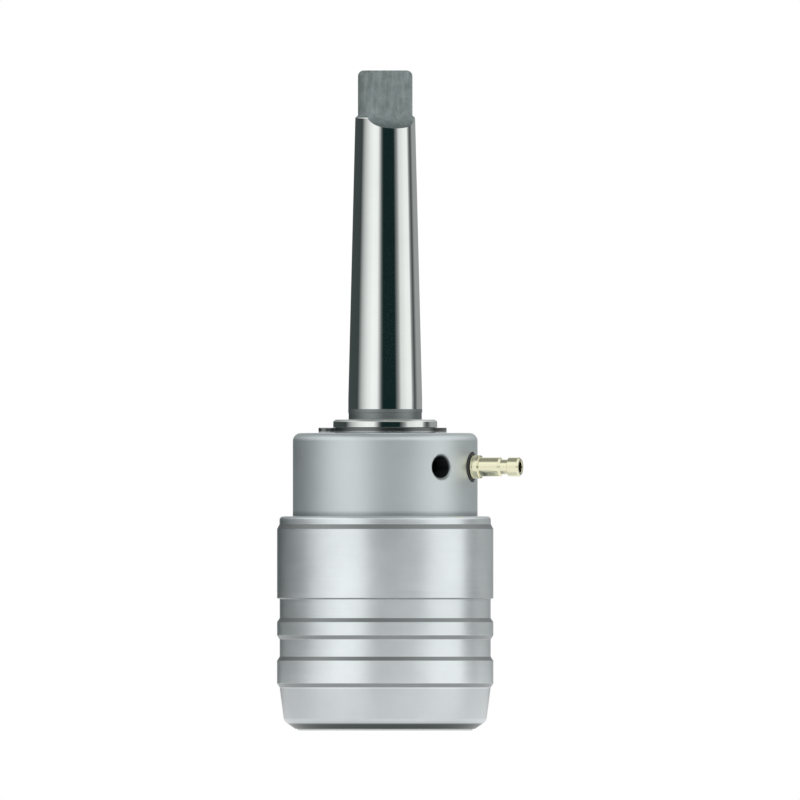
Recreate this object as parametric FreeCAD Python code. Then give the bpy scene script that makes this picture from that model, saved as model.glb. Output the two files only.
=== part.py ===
import FreeCAD, Part
import math
import os

from FreeCAD import Vector

# Quick-change arbor for annular cutters, with a Morse taper 2 shank and a coolant feed ring.
# Sizes are millimetres. The origin is the centre of the face that the arbor stands on, +Z runs
# up the arbor's axis to the tang, and the front is -Y. An azimuth is counted from the front
# towards +X, in degrees.
#
# How it works: the shank, journal, flange and socket are one turned body. The coolant ring stays
# still on the journal while the body turns, and a hose pushes on to its nipple. A grip sleeve,
# held down by a spring, carries a hardened cam ring whose cone presses two locking pins on to
# the flats of the cutter's shank. Lifting the sleeve lets the pins move out. In the middle, a
# sprung plunger shuts the coolant off until the cutter's pilot pin pushes it up.

# Clearances between pieces
seat_gap = 0.05  # faces that rest on each other
running_gap = 0.03  # radial, between a shaft and what turns or slides on it
seal_gap = 0.05  # radial, between a seal and what moves against it
press_gap = 0.02  # radial, between pieces that are pressed or screwed together
loose_gap = 0.12  # radial, round a washer that only has to lie in place

# Morse taper 2 shank with its tang
gauge_d = 17.780
taper_per_mm = 0.04995
gauge_to_tang_end = 75.0
gauge_to_land = 5.0
land_length = 3.4
relief_depth = 0.1
relief_length = 1.65
tang_step = 0.65
tang_shoulder_chamfer = 0.5
tang_thickness = 6.3
tang_turned_length = 11.0
tang_flat_length = 8.4
tang_runout_r = 6.0
tang_end_round = 1.4
tang_azimuth = 20.0
centre_hole_d = 3.0
centre_hole_angle = 60.0

# Journal for the coolant ring, and the flange under it
journal_d = 25.4
journal_stand = 2.0
journal_chamfer = 0.5
flange_thickness = 2.9
flange_side_gap = 0.5

# Socket for the cutter's 3/4 inch shank
socket_bore_d = 19.06
socket_depth = 33.1
socket_mouth_chamfer = 0.8
socket_body_d = 34.0
sleeve_room = 5.9  # radial, from the body round the socket to the sleeve's bore
socket_end_recess = 0.4
burr_relief_depth = 0.35
burr_relief_margin = 1.0

# Nose ring that stops the sleeve, and the split ring that holds it
nose_ring_height = 5.0
nose_ring_chamfer = 0.3
nose_ring_ledge = 1.5
nose_ring_side_gap = 0.2
nose_neck_step = 1.0
snap_ring_stand = 1.3
snap_ring_thickness = 1.2
snap_ring_width = 1.7
snap_groove_depth = 0.8
snap_recess_gap = 0.6
snap_ring_opening = 24.0

# Grip sleeve: its walls, and the bands along its outside from the nose up
sleeve_stand = 0.4
sleeve_wall = 3.45
sleeve_ring_gap = 0.4
sleeve_lap = 1.15
sleeve_rim_width = 0.3
sleeve_mouth_chamfer = 0.25
grip_recess = 0.65
grip_flank = 1.0
nose_edge_inset = 1.7
nose_chamfer_rise = 1.9
nose_taper_rise = 8.2
low_rib_height = 5.5
low_groove_height = 4.2
middle_rib_height = 3.2
high_groove_height = 4.6
sharp_flank = 0.25
top_band_height = 1.95
top_band_inset = 0.6
top_band_flank = 1.15
top_band_round = 0.95

# Lift of the sleeve, and the cam ring pressed into it
lift_travel = 6.0
cam_relief = 0.15
cam_above_pin = 3.8
cam_run_on = 1.7
cam_over_dowel = 3.55
cam_bottom_chamfer = 0.4

# Locking pins
pin_from_mouth = 16.1
pin_travel = 1.5
pin_nose_d = 7.0
pin_nose_chamfer = 0.4
pin_head_d = 9.0
pin_head_pocket = 4.8
pin_dome_r = 5.0
flat_depth = 1.18
pin_azimuths = {"locking_pin_front": 0.0, "locking_pin_side": 90.0}

# Dowels that keep the sleeve from turning on the body
dowel_d = 3.0
dowel_length = 5.8
dowel_above_pin = 8.5
dowel_stand = 1.3
dowel_azimuths = (180.0, 270.0)
keyway_side_gap = 0.08
keyway_end_gap = 0.2

# Spring that holds the sleeve down
sleeve_spring_pressed_length = 11.3
sleeve_spring_wire_d = 2.0
sleeve_spring_turns = 4

# Pilot plunger in the middle of the body, its spring, and what keeps it in
plunger_travel = 30.0
plunger_recess_d = 15.0
plunger_recess_lead = 0.8
plunger_washer_thickness = 1.0
plunger_washer_bore_d = 7.2
plunger_head_length = 13.6
plunger_head_gap = 0.15
plunger_stem_gap = 0.2
plunger_stem_lead = 0.1
plunger_cup_d = 4.0
plunger_cup_depth = 1.0
plunger_spigot_gap = 1.0
plunger_spigot_length = 3.0
plunger_seal_section = 1.7
plunger_seal_rise = 6.8
plunger_spring_pressed_length = 36.0
plunger_spring_wire_d = 0.9
plunger_spring_turns = 12
plunger_spring_side_gap = 0.4
chamber_d = 10.2
chamber_drill_angle = 118.0

# Coolant ring: its outside, then what lies along its bore from below
ring_top_round = 2.0
ring_bottom_chamfer = 0.4
ring_bore_gap = 0.15
ring_land = 0.8
bush_wall = 2.0
bush_lead = 0.25
lower_bush_length = 6.0
upper_bush_length = 2.2
shaft_seal_section = 1.8
seal_groove_side_gap = 0.2
gallery_height = 4.2
gallery_depth = 2.3
lower_washer_thickness = 0.6
lower_washer_width = 7.4
upper_washer_thickness = 0.8
upper_washer_width = 4.4
cross_hole_d = 3.5
cross_hole_count = 3
wiper_section = 1.5

# Ports in the coolant ring: one for the arm that stops it turning, one for the nipple
port_above_gallery_middle = 0.95
port_thread_d = 5.0
arm_port_azimuth = 38.0
arm_port_depth = 6.0
arm_port_countersink_d = 6.6
nipple_azimuth = 71.0
nipple_passage_d = 2.2
spot_face_d = 7.4
spot_face_depth = 0.8

# Hose nipple, along its own axis from the spot face
nipple_thread_length = 4.6
nipple_washer_d = 7.0
nipple_washer_thickness = 0.9
nipple_collar_d = 5.8
nipple_collar_length = 2.05
nipple_collar_round = 0.25
nipple_collar_groove_at = 0.45
nipple_collar_groove_width = 0.3
nipple_collar_groove_depth = 0.25
nipple_stem_d = 4.7
nipple_stem_length = 5.4
nipple_stem_chamfer = 0.45
nipple_neck_d = 3.7
nipple_neck_length = 1.9
nipple_tip_length = 2.9
nipple_tip_chamfer = 0.4
nipple_bore_d = 2.7

# Circlip on the journal, as for a 1 inch shaft
circlip_thickness = 1.2
circlip_groove_depth = 0.55
circlip_groove_slack = 0.05
circlip_beam = 2.8
circlip_beam_at_gap = 1.7
circlip_lug_d = 4.2
circlip_lug_reach = 2.35
circlip_lug_hole_d = 2.0
circlip_lug_angle = 13.0
circlip_opening = 12.6
circlip_azimuth = 270.0

# Circlip under the plunger's washer, as for a 15 mm bore
plunger_clip_thickness = 1.0
plunger_clip_groove_depth = 0.35
plunger_clip_beam = 1.9
plunger_clip_beam_at_gap = 1.2
plunger_clip_lug_d = 2.5
plunger_clip_lug_reach = 1.9
plunger_clip_lug_hole_d = 1.2
plunger_clip_lug_angle = 17.0
plunger_clip_opening = 15.0

OVERRUN = 1.0  # how far a cutting shape runs past the face that it cuts

# Radii that several pieces share
journal_r = journal_d / 2
bore_r = socket_bore_d / 2
body_r = socket_body_d / 2
neck_r = body_r - nose_neck_step
sleeve_bore_r = body_r + sleeve_room
ring_r = sleeve_bore_r - sleeve_ring_gap
grip_r = sleeve_bore_r + sleeve_wall
flange_r = sleeve_bore_r - flange_side_gap
nose_ring_r = sleeve_bore_r - nose_ring_ledge
sleeve_lip_r = nose_ring_r + nose_ring_side_gap
chamber_r = chamber_d / 2
recess_r = plunger_recess_d / 2
stem_r = plunger_washer_bore_d / 2 - plunger_stem_gap
bush_outer_r = journal_r + running_gap + bush_wall
snap_groove_r = neck_r - snap_groove_depth
circlip_groove_r = journal_r - circlip_groove_depth
plunger_clip_groove_r = recess_r + plunger_clip_groove_depth
wiper_inner_r = sleeve_bore_r - seal_gap - wiper_section
shaft_seal_outer_r = journal_r + seal_gap + shaft_seal_section
plunger_seal_inner_r = chamber_r - seal_gap - plunger_seal_section
spot_face_r = ring_r - spot_face_depth
thread_r = port_thread_d / 2

# Heights of the socket, the pins and the cam ring
socket_top = socket_end_recess + socket_depth
pin_z = socket_end_recess + pin_from_mouth
dowel_z = pin_z + dowel_above_pin
cam_bottom = nose_ring_height + seat_gap
cam_top = dowel_z + dowel_d / 2 + cam_over_dowel
snap_ring_top = snap_ring_stand + snap_ring_thickness

# Heights from the sleeve's spring up to the end of the tang
sleeve_spring_bottom = cam_top + seat_gap
sleeve_spring_top = sleeve_spring_bottom + sleeve_spring_pressed_length + lift_travel
flange_bottom = sleeve_spring_top + seat_gap
flange_top = flange_bottom + flange_thickness
wiper_z = flange_bottom + flange_thickness / 2
ring_bottom = flange_top + lower_washer_thickness + 2 * seat_gap
sleeve_top = ring_bottom + sleeve_lap
seal_groove_height = shaft_seal_section + seal_groove_side_gap
lower_seat_top = ring_bottom + lower_bush_length + 2 * bush_lead
lower_seal_z = lower_seat_top + ring_land + seal_groove_height / 2
gallery_z = lower_seal_z + seal_groove_height / 2 + ring_land + gallery_height / 2
upper_seal_z = gallery_z + gallery_height / 2 + ring_land + seal_groove_height / 2
upper_seat_bottom = upper_seal_z + seal_groove_height / 2 + ring_land
washer_recess_z = upper_seat_bottom + upper_bush_length + 2 * bush_lead
ring_top = washer_recess_z + seat_gap + upper_washer_thickness
port_z = gallery_z + port_above_gallery_middle
circlip_bottom = ring_top + seat_gap
circlip_top = circlip_bottom + circlip_thickness
journal_top = circlip_top + journal_stand
shank_bottom = journal_top + relief_length
land_top = shank_bottom + land_length
gauge_z = land_top + gauge_to_land
tang_end = gauge_z + gauge_to_tang_end
tang_shoulder = tang_end - tang_turned_length
tang_flat_bottom = tang_end - tang_flat_length

# Heights of the pilot plunger and what holds it
plunger_clip_bottom = socket_top + plunger_recess_lead
plunger_clip_top = plunger_clip_bottom + plunger_clip_thickness
plunger_washer_bottom = plunger_clip_top + seat_gap
plunger_washer_top = plunger_washer_bottom + plunger_washer_thickness
chamber_bottom = plunger_washer_top + seat_gap
plunger_seal_z = chamber_bottom + plunger_seal_rise
plunger_top = chamber_bottom + plunger_head_length
plunger_spring_bottom = plunger_top + seat_gap
plunger_spring_top = plunger_spring_bottom + plunger_spring_pressed_length + plunger_travel
chamber_top = plunger_spring_top + seat_gap

# The cam's cone widens downwards, so that lifting the sleeve by lift_travel frees the pins by
# pin_travel. A pin's dome touches it a little above the pin's own axis.
cam_slope = pin_travel / lift_travel
cam_angle = math.atan(cam_slope)
cam_guide_r = body_r + running_gap
cone_top = pin_z + cam_above_pin
cone_top_r = cam_guide_r + cam_relief
cone_bottom = pin_z + pin_dome_r * math.sin(cam_angle) - lift_travel - cam_run_on
cone_bottom_r = cone_top_r + (cone_top - cone_bottom) * cam_slope
dome_centre = cone_top_r + cam_above_pin * cam_slope - (pin_dome_r + seat_gap) / math.cos(cam_angle)
pin_head_seat = body_r - pin_head_pocket
pin_nose_end = bore_r - flat_depth
dowel_inner_end = body_r + dowel_stand - dowel_length


def turned(outline):
    """The solid that the closed outline of (radius, height) points makes round the Z axis."""
    points = [Vector(radius, 0, height) for radius, height in outline]
    face = Part.Face(Part.makePolygon(points + points[:1]))
    return face.revolve(Vector(0, 0, 0), Vector(0, 0, 1), 360.0)


def turned_along_x(outline, height):
    """The same for (distance, radius) points round a line along +X at a height."""
    points = [Vector(distance, 0, height + radius) for distance, radius in outline]
    face = Part.Face(Part.makePolygon(points + points[:1]))
    return face.revolve(Vector(0, 0, height), Vector(1, 0, 0), 360.0)


def tube(inner_r, outer_r, bottom, top):
    """A plain ring between two heights."""
    return turned([(inner_r, bottom), (outer_r, bottom), (outer_r, top), (inner_r, top)])


def rod(radius, bottom, top):
    """A plain cylinder on the Z axis."""
    return Part.makeCylinder(radius, top - bottom, Vector(0, 0, bottom))


def rod_along_x(radius, start, end, height):
    """A plain cylinder along +X, between two distances from the Z axis."""
    return Part.makeCylinder(radius, end - start, Vector(start, 0, height), Vector(1, 0, 0))


def facing(shape, azimuth):
    """The shape, which was made pointing along +X, turned to point at an azimuth."""
    return shape.rotated(Vector(0, 0, 0), Vector(0, 0, 1), azimuth - 90.0)


def rounded_rim(solid, radius, height, fillet_r):
    """The solid with a fillet on its circular edge of that radius at that height."""
    near = 1e-4
    rims = [
        edge
        for edge in solid.Edges
        if isinstance(edge.Curve, Part.Circle)
        and abs(edge.Curve.Radius - radius) < near
        and abs(edge.Curve.Center.z - height) < near
    ]
    return solid.makeFillet(fillet_r, rims)


def square_seal(inner_r, section, middle):
    """A rubber ring cut square."""
    return tube(inner_r, inner_r + section, middle - section / 2, middle + section / 2)


def coil_spring(widest_r, wire_d, turns, bottom, top):
    """A compression spring with a closed turn at each end.

    Each half turn is a half ring in a plane tilted about Y, so one runs into the next with no kink.
    The wire's middle is widest_r from the axis at the sides and a little nearer at front and back.
    """
    half_turns = 2 * turns
    closed_half_turns = 2
    closed_rise = 0.53 * wire_d
    open_half_turns = half_turns - 2 * closed_half_turns
    open_rise = (top - bottom - wire_d - 2 * closed_half_turns * closed_rise) / open_half_turns
    rises = [closed_rise] * closed_half_turns + [open_rise] * open_half_turns
    rises += [closed_rise] * closed_half_turns
    mean_r = math.sqrt(widest_r**2 - (open_rise / 2) ** 2)
    coils = []
    start = Vector(mean_r, 0, bottom + wire_d / 2)
    for rise in rises:
        end = Vector(-start.x, 0, start.z + rise)
        centre = (start + end) / 2
        along = Vector(0, start.x, 0)
        section = Part.Face(Part.Wire(Part.makeCircle(wire_d / 2, start, along)))
        coils.append(section.revolve(centre, (start - centre).cross(along), 180.0))
        start = end
    return coils[0].multiFuse(coils[1:])


def opening_wedge(full_angle, reach, bottom, top):
    """A wedge about the +X direction, for opening a ring."""
    half_angle = math.radians(full_angle / 2)
    x = reach * math.cos(half_angle)
    y = reach * math.sin(half_angle)
    apex = Vector(0, 0, bottom)
    outline = Part.makePolygon([apex, Vector(x, -y, bottom), Vector(x, y, bottom), apex])
    return Part.Face(outline).extrude(Vector(0, 0, top - bottom))


def lug_pair(diameter, distance, angle, bottom, top):
    """Two upright cylinders, one each side of the +X direction."""
    pair = []
    for side in (-1, 1):
        turn = side * math.radians(angle)
        centre = Vector(distance * math.cos(turn), distance * math.sin(turn), bottom)
        pair.append(Part.makeCylinder(diameter / 2, top - bottom, centre))
    return pair


def shank_r(height):
    """The taper's radius at a height."""
    return (gauge_d - taper_per_mm * (height - gauge_z)) / 2


def tang_flat_cutter():
    """What is milled off one side of the tang: a slab, and the milling cutter's round below it."""
    flat = tang_thickness / 2
    width = 2 * gauge_d
    corner = Vector(flat, -width / 2, tang_flat_bottom)
    slab = Part.makeBox(2 * tang_runout_r, width, tang_flat_length + OVERRUN, corner)
    runout_centre = corner + Vector(tang_runout_r, 0, 0)
    return slab.fuse(Part.makeCylinder(tang_runout_r, width, runout_centre, Vector(0, 1, 0)))


def arbor_outside():
    """The body's outside: socket, flange, journal, shank and tang."""
    land_r = shank_r(land_top)
    relief_r = land_r - relief_depth
    tang_r = shank_r(tang_shoulder) - tang_step
    chamfer_bottom = tang_shoulder - tang_shoulder_chamfer
    body = turned(
        [
            (0, socket_end_recess),
            (neck_r, socket_end_recess),
            (neck_r, nose_ring_height),
            (body_r, nose_ring_height),
            (body_r, flange_bottom),
            (flange_r, flange_bottom),
            (flange_r, flange_top),
            (journal_r, flange_top),
            (journal_r, journal_top - journal_chamfer),
            (journal_r - journal_chamfer, journal_top),
            (relief_r, journal_top),
            (relief_r, shank_bottom),
            (land_r, shank_bottom),
            (land_r, land_top),
            (shank_r(chamfer_bottom), chamfer_bottom),
            (tang_r, tang_shoulder),
            (tang_r, tang_end),
            (0, tang_end),
        ]
    )
    body = rounded_rim(body, tang_r, tang_end, tang_end_round)
    flats = [facing(tang_flat_cutter(), tang_azimuth + half_turn) for half_turn in (0.0, 180.0)]
    return body.cut(flats)


def arbor_bores():
    """What is bored out along the axis: socket, burr relief, washer recess and spring chamber."""
    mouth_r = bore_r + socket_mouth_chamfer
    relief_r = bore_r + burr_relief_depth
    relief_half = pin_nose_d / 2 + burr_relief_margin
    drill_rise = chamber_r / math.tan(math.radians(chamber_drill_angle / 2))
    return turned(
        [
            (0, socket_end_recess - OVERRUN),
            (mouth_r, socket_end_recess - OVERRUN),
            (mouth_r, socket_end_recess),
            (bore_r, socket_end_recess + socket_mouth_chamfer),
            (bore_r, pin_z - relief_half),
            (relief_r, pin_z - relief_half),
            (relief_r, pin_z + relief_half),
            (bore_r, pin_z + relief_half),
            (bore_r, socket_top),
            (recess_r, socket_top),
            (recess_r, chamber_bottom),
            (chamber_r, chamber_bottom),
            (chamber_r, chamber_top),
            (0, chamber_top + drill_rise),
        ]
    )


def centre_hole():
    """The turning centre's cone in the end of the tang."""
    depth = centre_hole_d / 2 / math.tan(math.radians(centre_hole_angle / 2))
    return turned([(0, tang_end - depth), (centre_hole_d / 2, tang_end), (0, tang_end)])


def arbor_grooves():
    """Grooves round the body for its clips, snap ring and wiper."""
    wiper_half = wiper_section / 2 + press_gap
    return [
        tube(
            circlip_groove_r,
            journal_r + OVERRUN,
            circlip_bottom - circlip_groove_slack,
            circlip_top + circlip_groove_slack,
        ),
        rod(
            plunger_clip_groove_r,
            plunger_clip_bottom - circlip_groove_slack,
            plunger_clip_top + circlip_groove_slack,
        ),
        tube(snap_groove_r, neck_r + OVERRUN, snap_ring_stand - press_gap, snap_ring_top + press_gap),
        tube(wiper_inner_r - press_gap, flange_r + OVERRUN, wiper_z - wiper_half, wiper_z + wiper_half),
    ]


def arbor_cross_holes():
    """Holes from the side of the body: pin windows, dowel holes and coolant cross holes."""
    holes = []
    far = body_r + OVERRUN
    for azimuth in pin_azimuths.values():
        nose = rod_along_x(pin_nose_d / 2 + running_gap, 0, far, pin_z)
        head = rod_along_x(pin_head_d / 2 + running_gap, pin_head_seat - seat_gap, far, pin_z)
        holes += [facing(nose, azimuth), facing(head, azimuth)]
    for azimuth in dowel_azimuths:
        hole = rod_along_x(dowel_d / 2 + press_gap, dowel_inner_end, far, dowel_z)
        holes.append(facing(hole, azimuth))
    for number in range(cross_hole_count):
        cross = rod_along_x(cross_hole_d / 2, 0, journal_r + OVERRUN, gallery_z)
        holes.append(facing(cross, number * 360.0 / cross_hole_count))
    return holes


def arbor_body():
    return arbor_outside().cut([arbor_bores(), centre_hole()] + arbor_grooves() + arbor_cross_holes())


def grip_sleeve():
    """The sleeve: ribs and grooves outside, one bore above the inner lip inside."""
    groove_r = grip_r - grip_recess
    top_band_r = grip_r - top_band_inset
    bands_going_up = [
        (nose_chamfer_rise, grip_r - nose_edge_inset),
        (nose_taper_rise, groove_r),
        (grip_flank, grip_r),
        (low_rib_height, grip_r),
        (grip_flank, groove_r),
        (low_groove_height, groove_r),
        (grip_flank, grip_r),
        (middle_rib_height, grip_r),
        (grip_flank, groove_r),
        (high_groove_height, groove_r),
        (sharp_flank, grip_r),
    ]
    outline = [(sleeve_lip_r, sleeve_stand), (sleeve_lip_r + sleeve_rim_width, sleeve_stand)]
    height = sleeve_stand
    for rise, radius in bands_going_up:
        height += rise
        outline.append((radius, height))
    outline += [
        (grip_r, sleeve_top - top_band_height - top_band_flank),
        (top_band_r, sleeve_top - top_band_height),
        (top_band_r, sleeve_top),
        (sleeve_bore_r + sleeve_mouth_chamfer, sleeve_top),
        (sleeve_bore_r, sleeve_top - sleeve_mouth_chamfer),
        (sleeve_bore_r, cam_bottom),
        (sleeve_lip_r, cam_bottom),
    ]
    rim_width = top_band_r - sleeve_bore_r - sleeve_mouth_chamfer
    return rounded_rim(turned(outline), top_band_r, sleeve_top, min(top_band_round, 0.8 * rim_width))


def cam_ring():
    """The hardened ring in the sleeve, with its cone and the keyways for the dowels."""
    outer_r = sleeve_bore_r - press_gap
    ring = turned(
        [
            (cone_bottom_r, cam_bottom),
            (outer_r - cam_bottom_chamfer, cam_bottom),
            (outer_r, cam_bottom + cam_bottom_chamfer),
            (outer_r, cam_top),
            (cam_guide_r, cam_top),
            (cam_guide_r, cone_top),
            (cone_top_r, cone_top),
            (cone_bottom_r, cone_bottom),
        ]
    )
    keyway_bottom = dowel_z - dowel_d / 2 - lift_travel - keyway_end_gap
    width = dowel_d + 2 * keyway_side_gap
    reach = body_r + dowel_stand + keyway_end_gap
    corner = Vector(0, -width / 2, keyway_bottom)
    keyway = Part.makeBox(reach, width, cam_top + OVERRUN - keyway_bottom, corner)
    return ring.cut([facing(keyway, azimuth) for azimuth in dowel_azimuths])


def locking_pin(azimuth):
    """A pin with a flat nose, a head that stops it from falling in, and a domed end."""
    nose_r = pin_nose_d / 2
    head_r = pin_head_d / 2
    dome_start = dome_centre + math.sqrt(pin_dome_r**2 - head_r**2)
    blank = turned_along_x(
        [
            (pin_nose_end, 0),
            (pin_nose_end, nose_r - pin_nose_chamfer),
            (pin_nose_end + pin_nose_chamfer, nose_r),
            (pin_head_seat, nose_r),
            (pin_head_seat, head_r),
            (dome_start, head_r),
            (dome_start, 0),
        ],
        pin_z,
    )
    ball = Part.makeSphere(pin_dome_r, Vector(dome_centre, 0, pin_z))
    dome = ball.common(rod_along_x(pin_dome_r, dome_start, dome_centre + 2 * pin_dome_r, pin_z))
    return facing(blank.fuse(dome), azimuth)


def guide_dowels():
    start = dowel_inner_end + seat_gap
    dowel = rod_along_x(dowel_d / 2, start, dowel_inner_end + dowel_length, dowel_z)
    return Part.makeCompound([facing(dowel, azimuth) for azimuth in dowel_azimuths])


def nose_ring():
    """The ring that the sleeve comes to rest on. The arbor stands on its lower face."""
    inner_r = neck_r + press_gap
    snap_room_r = snap_groove_r + snap_ring_width + snap_recess_gap
    snap_room_top = snap_ring_top + seat_gap
    return turned(
        [
            (snap_room_r, 0),
            (nose_ring_r - nose_ring_chamfer, 0),
            (nose_ring_r, nose_ring_chamfer),
            (nose_ring_r, nose_ring_height),
            (inner_r, nose_ring_height),
            (inner_r, snap_room_top),
            (snap_room_r, snap_room_top),
        ]
    )


def nose_snap_ring():
    """The split ring in the groove at the body's end."""
    inner_r = snap_groove_r + press_gap
    ring = tube(inner_r, inner_r + snap_ring_width, snap_ring_stand, snap_ring_top)
    opening = opening_wedge(snap_ring_opening, 2 * neck_r, snap_ring_stand, snap_ring_top)
    return facing(ring.cut(opening), 0.0)


def pilot_plunger():
    """The coolant valve: stem and cup below, head with its seal groove, spigot on top."""
    head_r = chamber_r - plunger_head_gap
    groove_r = plunger_seal_inner_r - press_gap
    groove_half = plunger_seal_section / 2 + press_gap
    spring_inner_r = chamber_r - plunger_spring_side_gap - plunger_spring_wire_d
    spigot_r = spring_inner_r - plunger_spigot_gap
    stem_bottom = socket_top + plunger_stem_lead
    return turned(
        [
            (0, stem_bottom + plunger_cup_depth),
            (plunger_cup_d / 2, stem_bottom),
            (stem_r, stem_bottom),
            (stem_r, chamber_bottom),
            (head_r, chamber_bottom),
            (head_r, plunger_seal_z - groove_half),
            (groove_r, plunger_seal_z - groove_half),
            (groove_r, plunger_seal_z + groove_half),
            (head_r, plunger_seal_z + groove_half),
            (head_r, plunger_top),
            (spigot_r, plunger_top),
            (spigot_r, plunger_top + plunger_spigot_length),
            (0, plunger_top + plunger_spigot_length),
        ]
    )


def plunger_washer():
    inner_r = plunger_washer_bore_d / 2
    return tube(inner_r, recess_r - press_gap, plunger_washer_bottom, plunger_washer_top)


def coolant_ring_turned():
    """The coolant ring before its ports, with bush seats, seal grooves and gallery inside."""
    bore = journal_r + ring_bore_gap
    seal_groove_r = shaft_seal_outer_r + press_gap
    washer_recess_r = journal_r + loose_gap + upper_washer_width + loose_gap
    outline = [
        (bush_outer_r, ring_bottom),
        (ring_r - ring_bottom_chamfer, ring_bottom),
        (ring_r, ring_bottom + ring_bottom_chamfer),
        (ring_r, ring_top),
        (washer_recess_r, ring_top),
        (washer_recess_r, washer_recess_z),
        (bush_outer_r, washer_recess_z),
        (bush_outer_r, upper_seat_bottom),
        (bore, upper_seat_bottom),
    ]
    grooves_going_down = (
        (upper_seal_z, seal_groove_height, seal_groove_r),
        (gallery_z, gallery_height, journal_r + gallery_depth),
        (lower_seal_z, seal_groove_height, seal_groove_r),
    )
    for middle, height, radius in grooves_going_down:
        outline += [
            (bore, middle + height / 2),
            (radius, middle + height / 2),
            (radius, middle - height / 2),
            (bore, middle - height / 2),
        ]
    outline += [(bore, lower_seat_top), (bush_outer_r, lower_seat_top)]
    return rounded_rim(turned(outline), ring_r, ring_top, ring_top_round)


def arm_port():
    """The blind tapped hole for the arm, as a cutting shape."""
    countersink_r = arm_port_countersink_d / 2
    hole_end = ring_r - arm_port_depth
    outline = [
        (hole_end, 0),
        (hole_end, thread_r),
        (ring_r - (countersink_r - thread_r), thread_r),
        (ring_r + OVERRUN, countersink_r + OVERRUN),
        (ring_r + OVERRUN, 0),
    ]
    return facing(turned_along_x(outline, port_z), arm_port_azimuth)


def nipple_port():
    """The nipple's spot face, tapped hole and passage to the gallery, as a cutting shape."""
    passage_r = nipple_passage_d / 2
    thread_end = spot_face_r - nipple_thread_length - seat_gap
    outline = [
        (journal_r + ring_bore_gap, 0),
        (journal_r + ring_bore_gap, passage_r),
        (thread_end, passage_r),
        (thread_end, thread_r),
        (spot_face_r, thread_r),
        (spot_face_r, spot_face_d / 2),
        (ring_r + OVERRUN, spot_face_d / 2),
        (ring_r + OVERRUN, 0),
    ]
    return facing(turned_along_x(outline, port_z), nipple_azimuth)


def coolant_ring():
    return coolant_ring_turned().cut([arm_port(), nipple_port()])


def bush(bottom, length):
    return tube(journal_r + running_gap, bush_outer_r - press_gap, bottom, bottom + length)


def thrust_washer(width, bottom, thickness):
    inner_r = journal_r + loose_gap
    return tube(inner_r, inner_r + width, bottom, bottom + thickness)


def nipple_washer():
    start = spot_face_r + seat_gap
    end = spot_face_r + nipple_washer_thickness
    inner_r = thread_r + press_gap
    outer_r = nipple_washer_d / 2
    outline = [(start, inner_r), (start, outer_r), (end, outer_r), (end, inner_r)]
    return facing(turned_along_x(outline, port_z), nipple_azimuth)


def hose_nipple():
    """The plug for a push-on hose coupling: thread, collar, stem, neck and tip, bored through."""
    bore = nipple_bore_d / 2
    nipple_thread_r = thread_r - press_gap
    collar_r = nipple_collar_d / 2
    stem_radius = nipple_stem_d / 2
    neck_radius = nipple_neck_d / 2
    thread_end = spot_face_r - nipple_thread_length
    collar_start = spot_face_r + nipple_washer_thickness + seat_gap
    groove_start = collar_start + nipple_collar_groove_at
    groove_end = groove_start + nipple_collar_groove_width
    groove_r = collar_r - nipple_collar_groove_depth
    collar_end = collar_start + nipple_collar_length
    stem_end = collar_end + nipple_stem_length
    tip_start = stem_end + nipple_neck_length
    tip_end = tip_start + nipple_tip_length
    outline = [
        (thread_end, bore),
        (thread_end, nipple_thread_r),
        (collar_start, nipple_thread_r),
        (collar_start, collar_r - nipple_collar_round),
        (collar_start + nipple_collar_round, collar_r),
        (groove_start, collar_r),
        (groove_start, groove_r),
        (groove_end, groove_r),
        (groove_end, collar_r),
        (collar_end - nipple_collar_round, collar_r),
        (collar_end, collar_r - nipple_collar_round),
        (collar_end, stem_radius),
        (stem_end - nipple_stem_chamfer, stem_radius),
        (stem_end, neck_radius),
        (tip_start, neck_radius),
        (tip_start, stem_radius),
        (tip_end - nipple_tip_chamfer, stem_radius),
        (tip_end, stem_radius - nipple_tip_chamfer),
        (tip_end, bore),
    ]
    return facing(turned_along_x(outline, port_z), nipple_azimuth)


def retaining_circlip():
    """The clip in the journal's groove, with its lugs outside and its beam widest opposite them."""
    inner_r = circlip_groove_r + press_gap
    outer_r = inner_r + (circlip_beam + circlip_beam_at_gap) / 2
    outer_centre = Vector(-(circlip_beam - circlip_beam_at_gap) / 2, 0, circlip_bottom)
    lug_distance = inner_r + circlip_lug_reach
    span = (circlip_bottom, circlip_top)
    clip = Part.makeCylinder(outer_r, circlip_thickness, outer_centre)
    clip = clip.fuse(lug_pair(circlip_lug_d, lug_distance, circlip_lug_angle, *span))
    opening = opening_wedge(circlip_opening, 2 * outer_r, *span)
    holes = lug_pair(circlip_lug_hole_d, lug_distance, circlip_lug_angle, *span)
    return facing(clip.cut([rod(inner_r, *span), opening] + holes), circlip_azimuth)


def plunger_circlip():
    """The clip in the recess's groove, with its lugs inside and its beam widest opposite them."""
    outer_r = plunger_clip_groove_r - press_gap
    inner_r = outer_r - (plunger_clip_beam + plunger_clip_beam_at_gap) / 2
    inner_centre = Vector((plunger_clip_beam - plunger_clip_beam_at_gap) / 2, 0, plunger_clip_bottom)
    lug_distance = outer_r - plunger_clip_lug_reach
    span = (plunger_clip_bottom, plunger_clip_top)
    hollow = Part.makeCylinder(inner_r, plunger_clip_thickness, inner_centre)
    clip = rod(outer_r, *span).cut(hollow)
    clip = clip.fuse(lug_pair(plunger_clip_lug_d, lug_distance, plunger_clip_lug_angle, *span))
    opening = opening_wedge(plunger_clip_opening, 2 * outer_r, *span)
    holes = lug_pair(plunger_clip_lug_hole_d, lug_distance, plunger_clip_lug_angle, *span)
    return facing(clip.cut([opening] + holes), circlip_azimuth)


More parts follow.
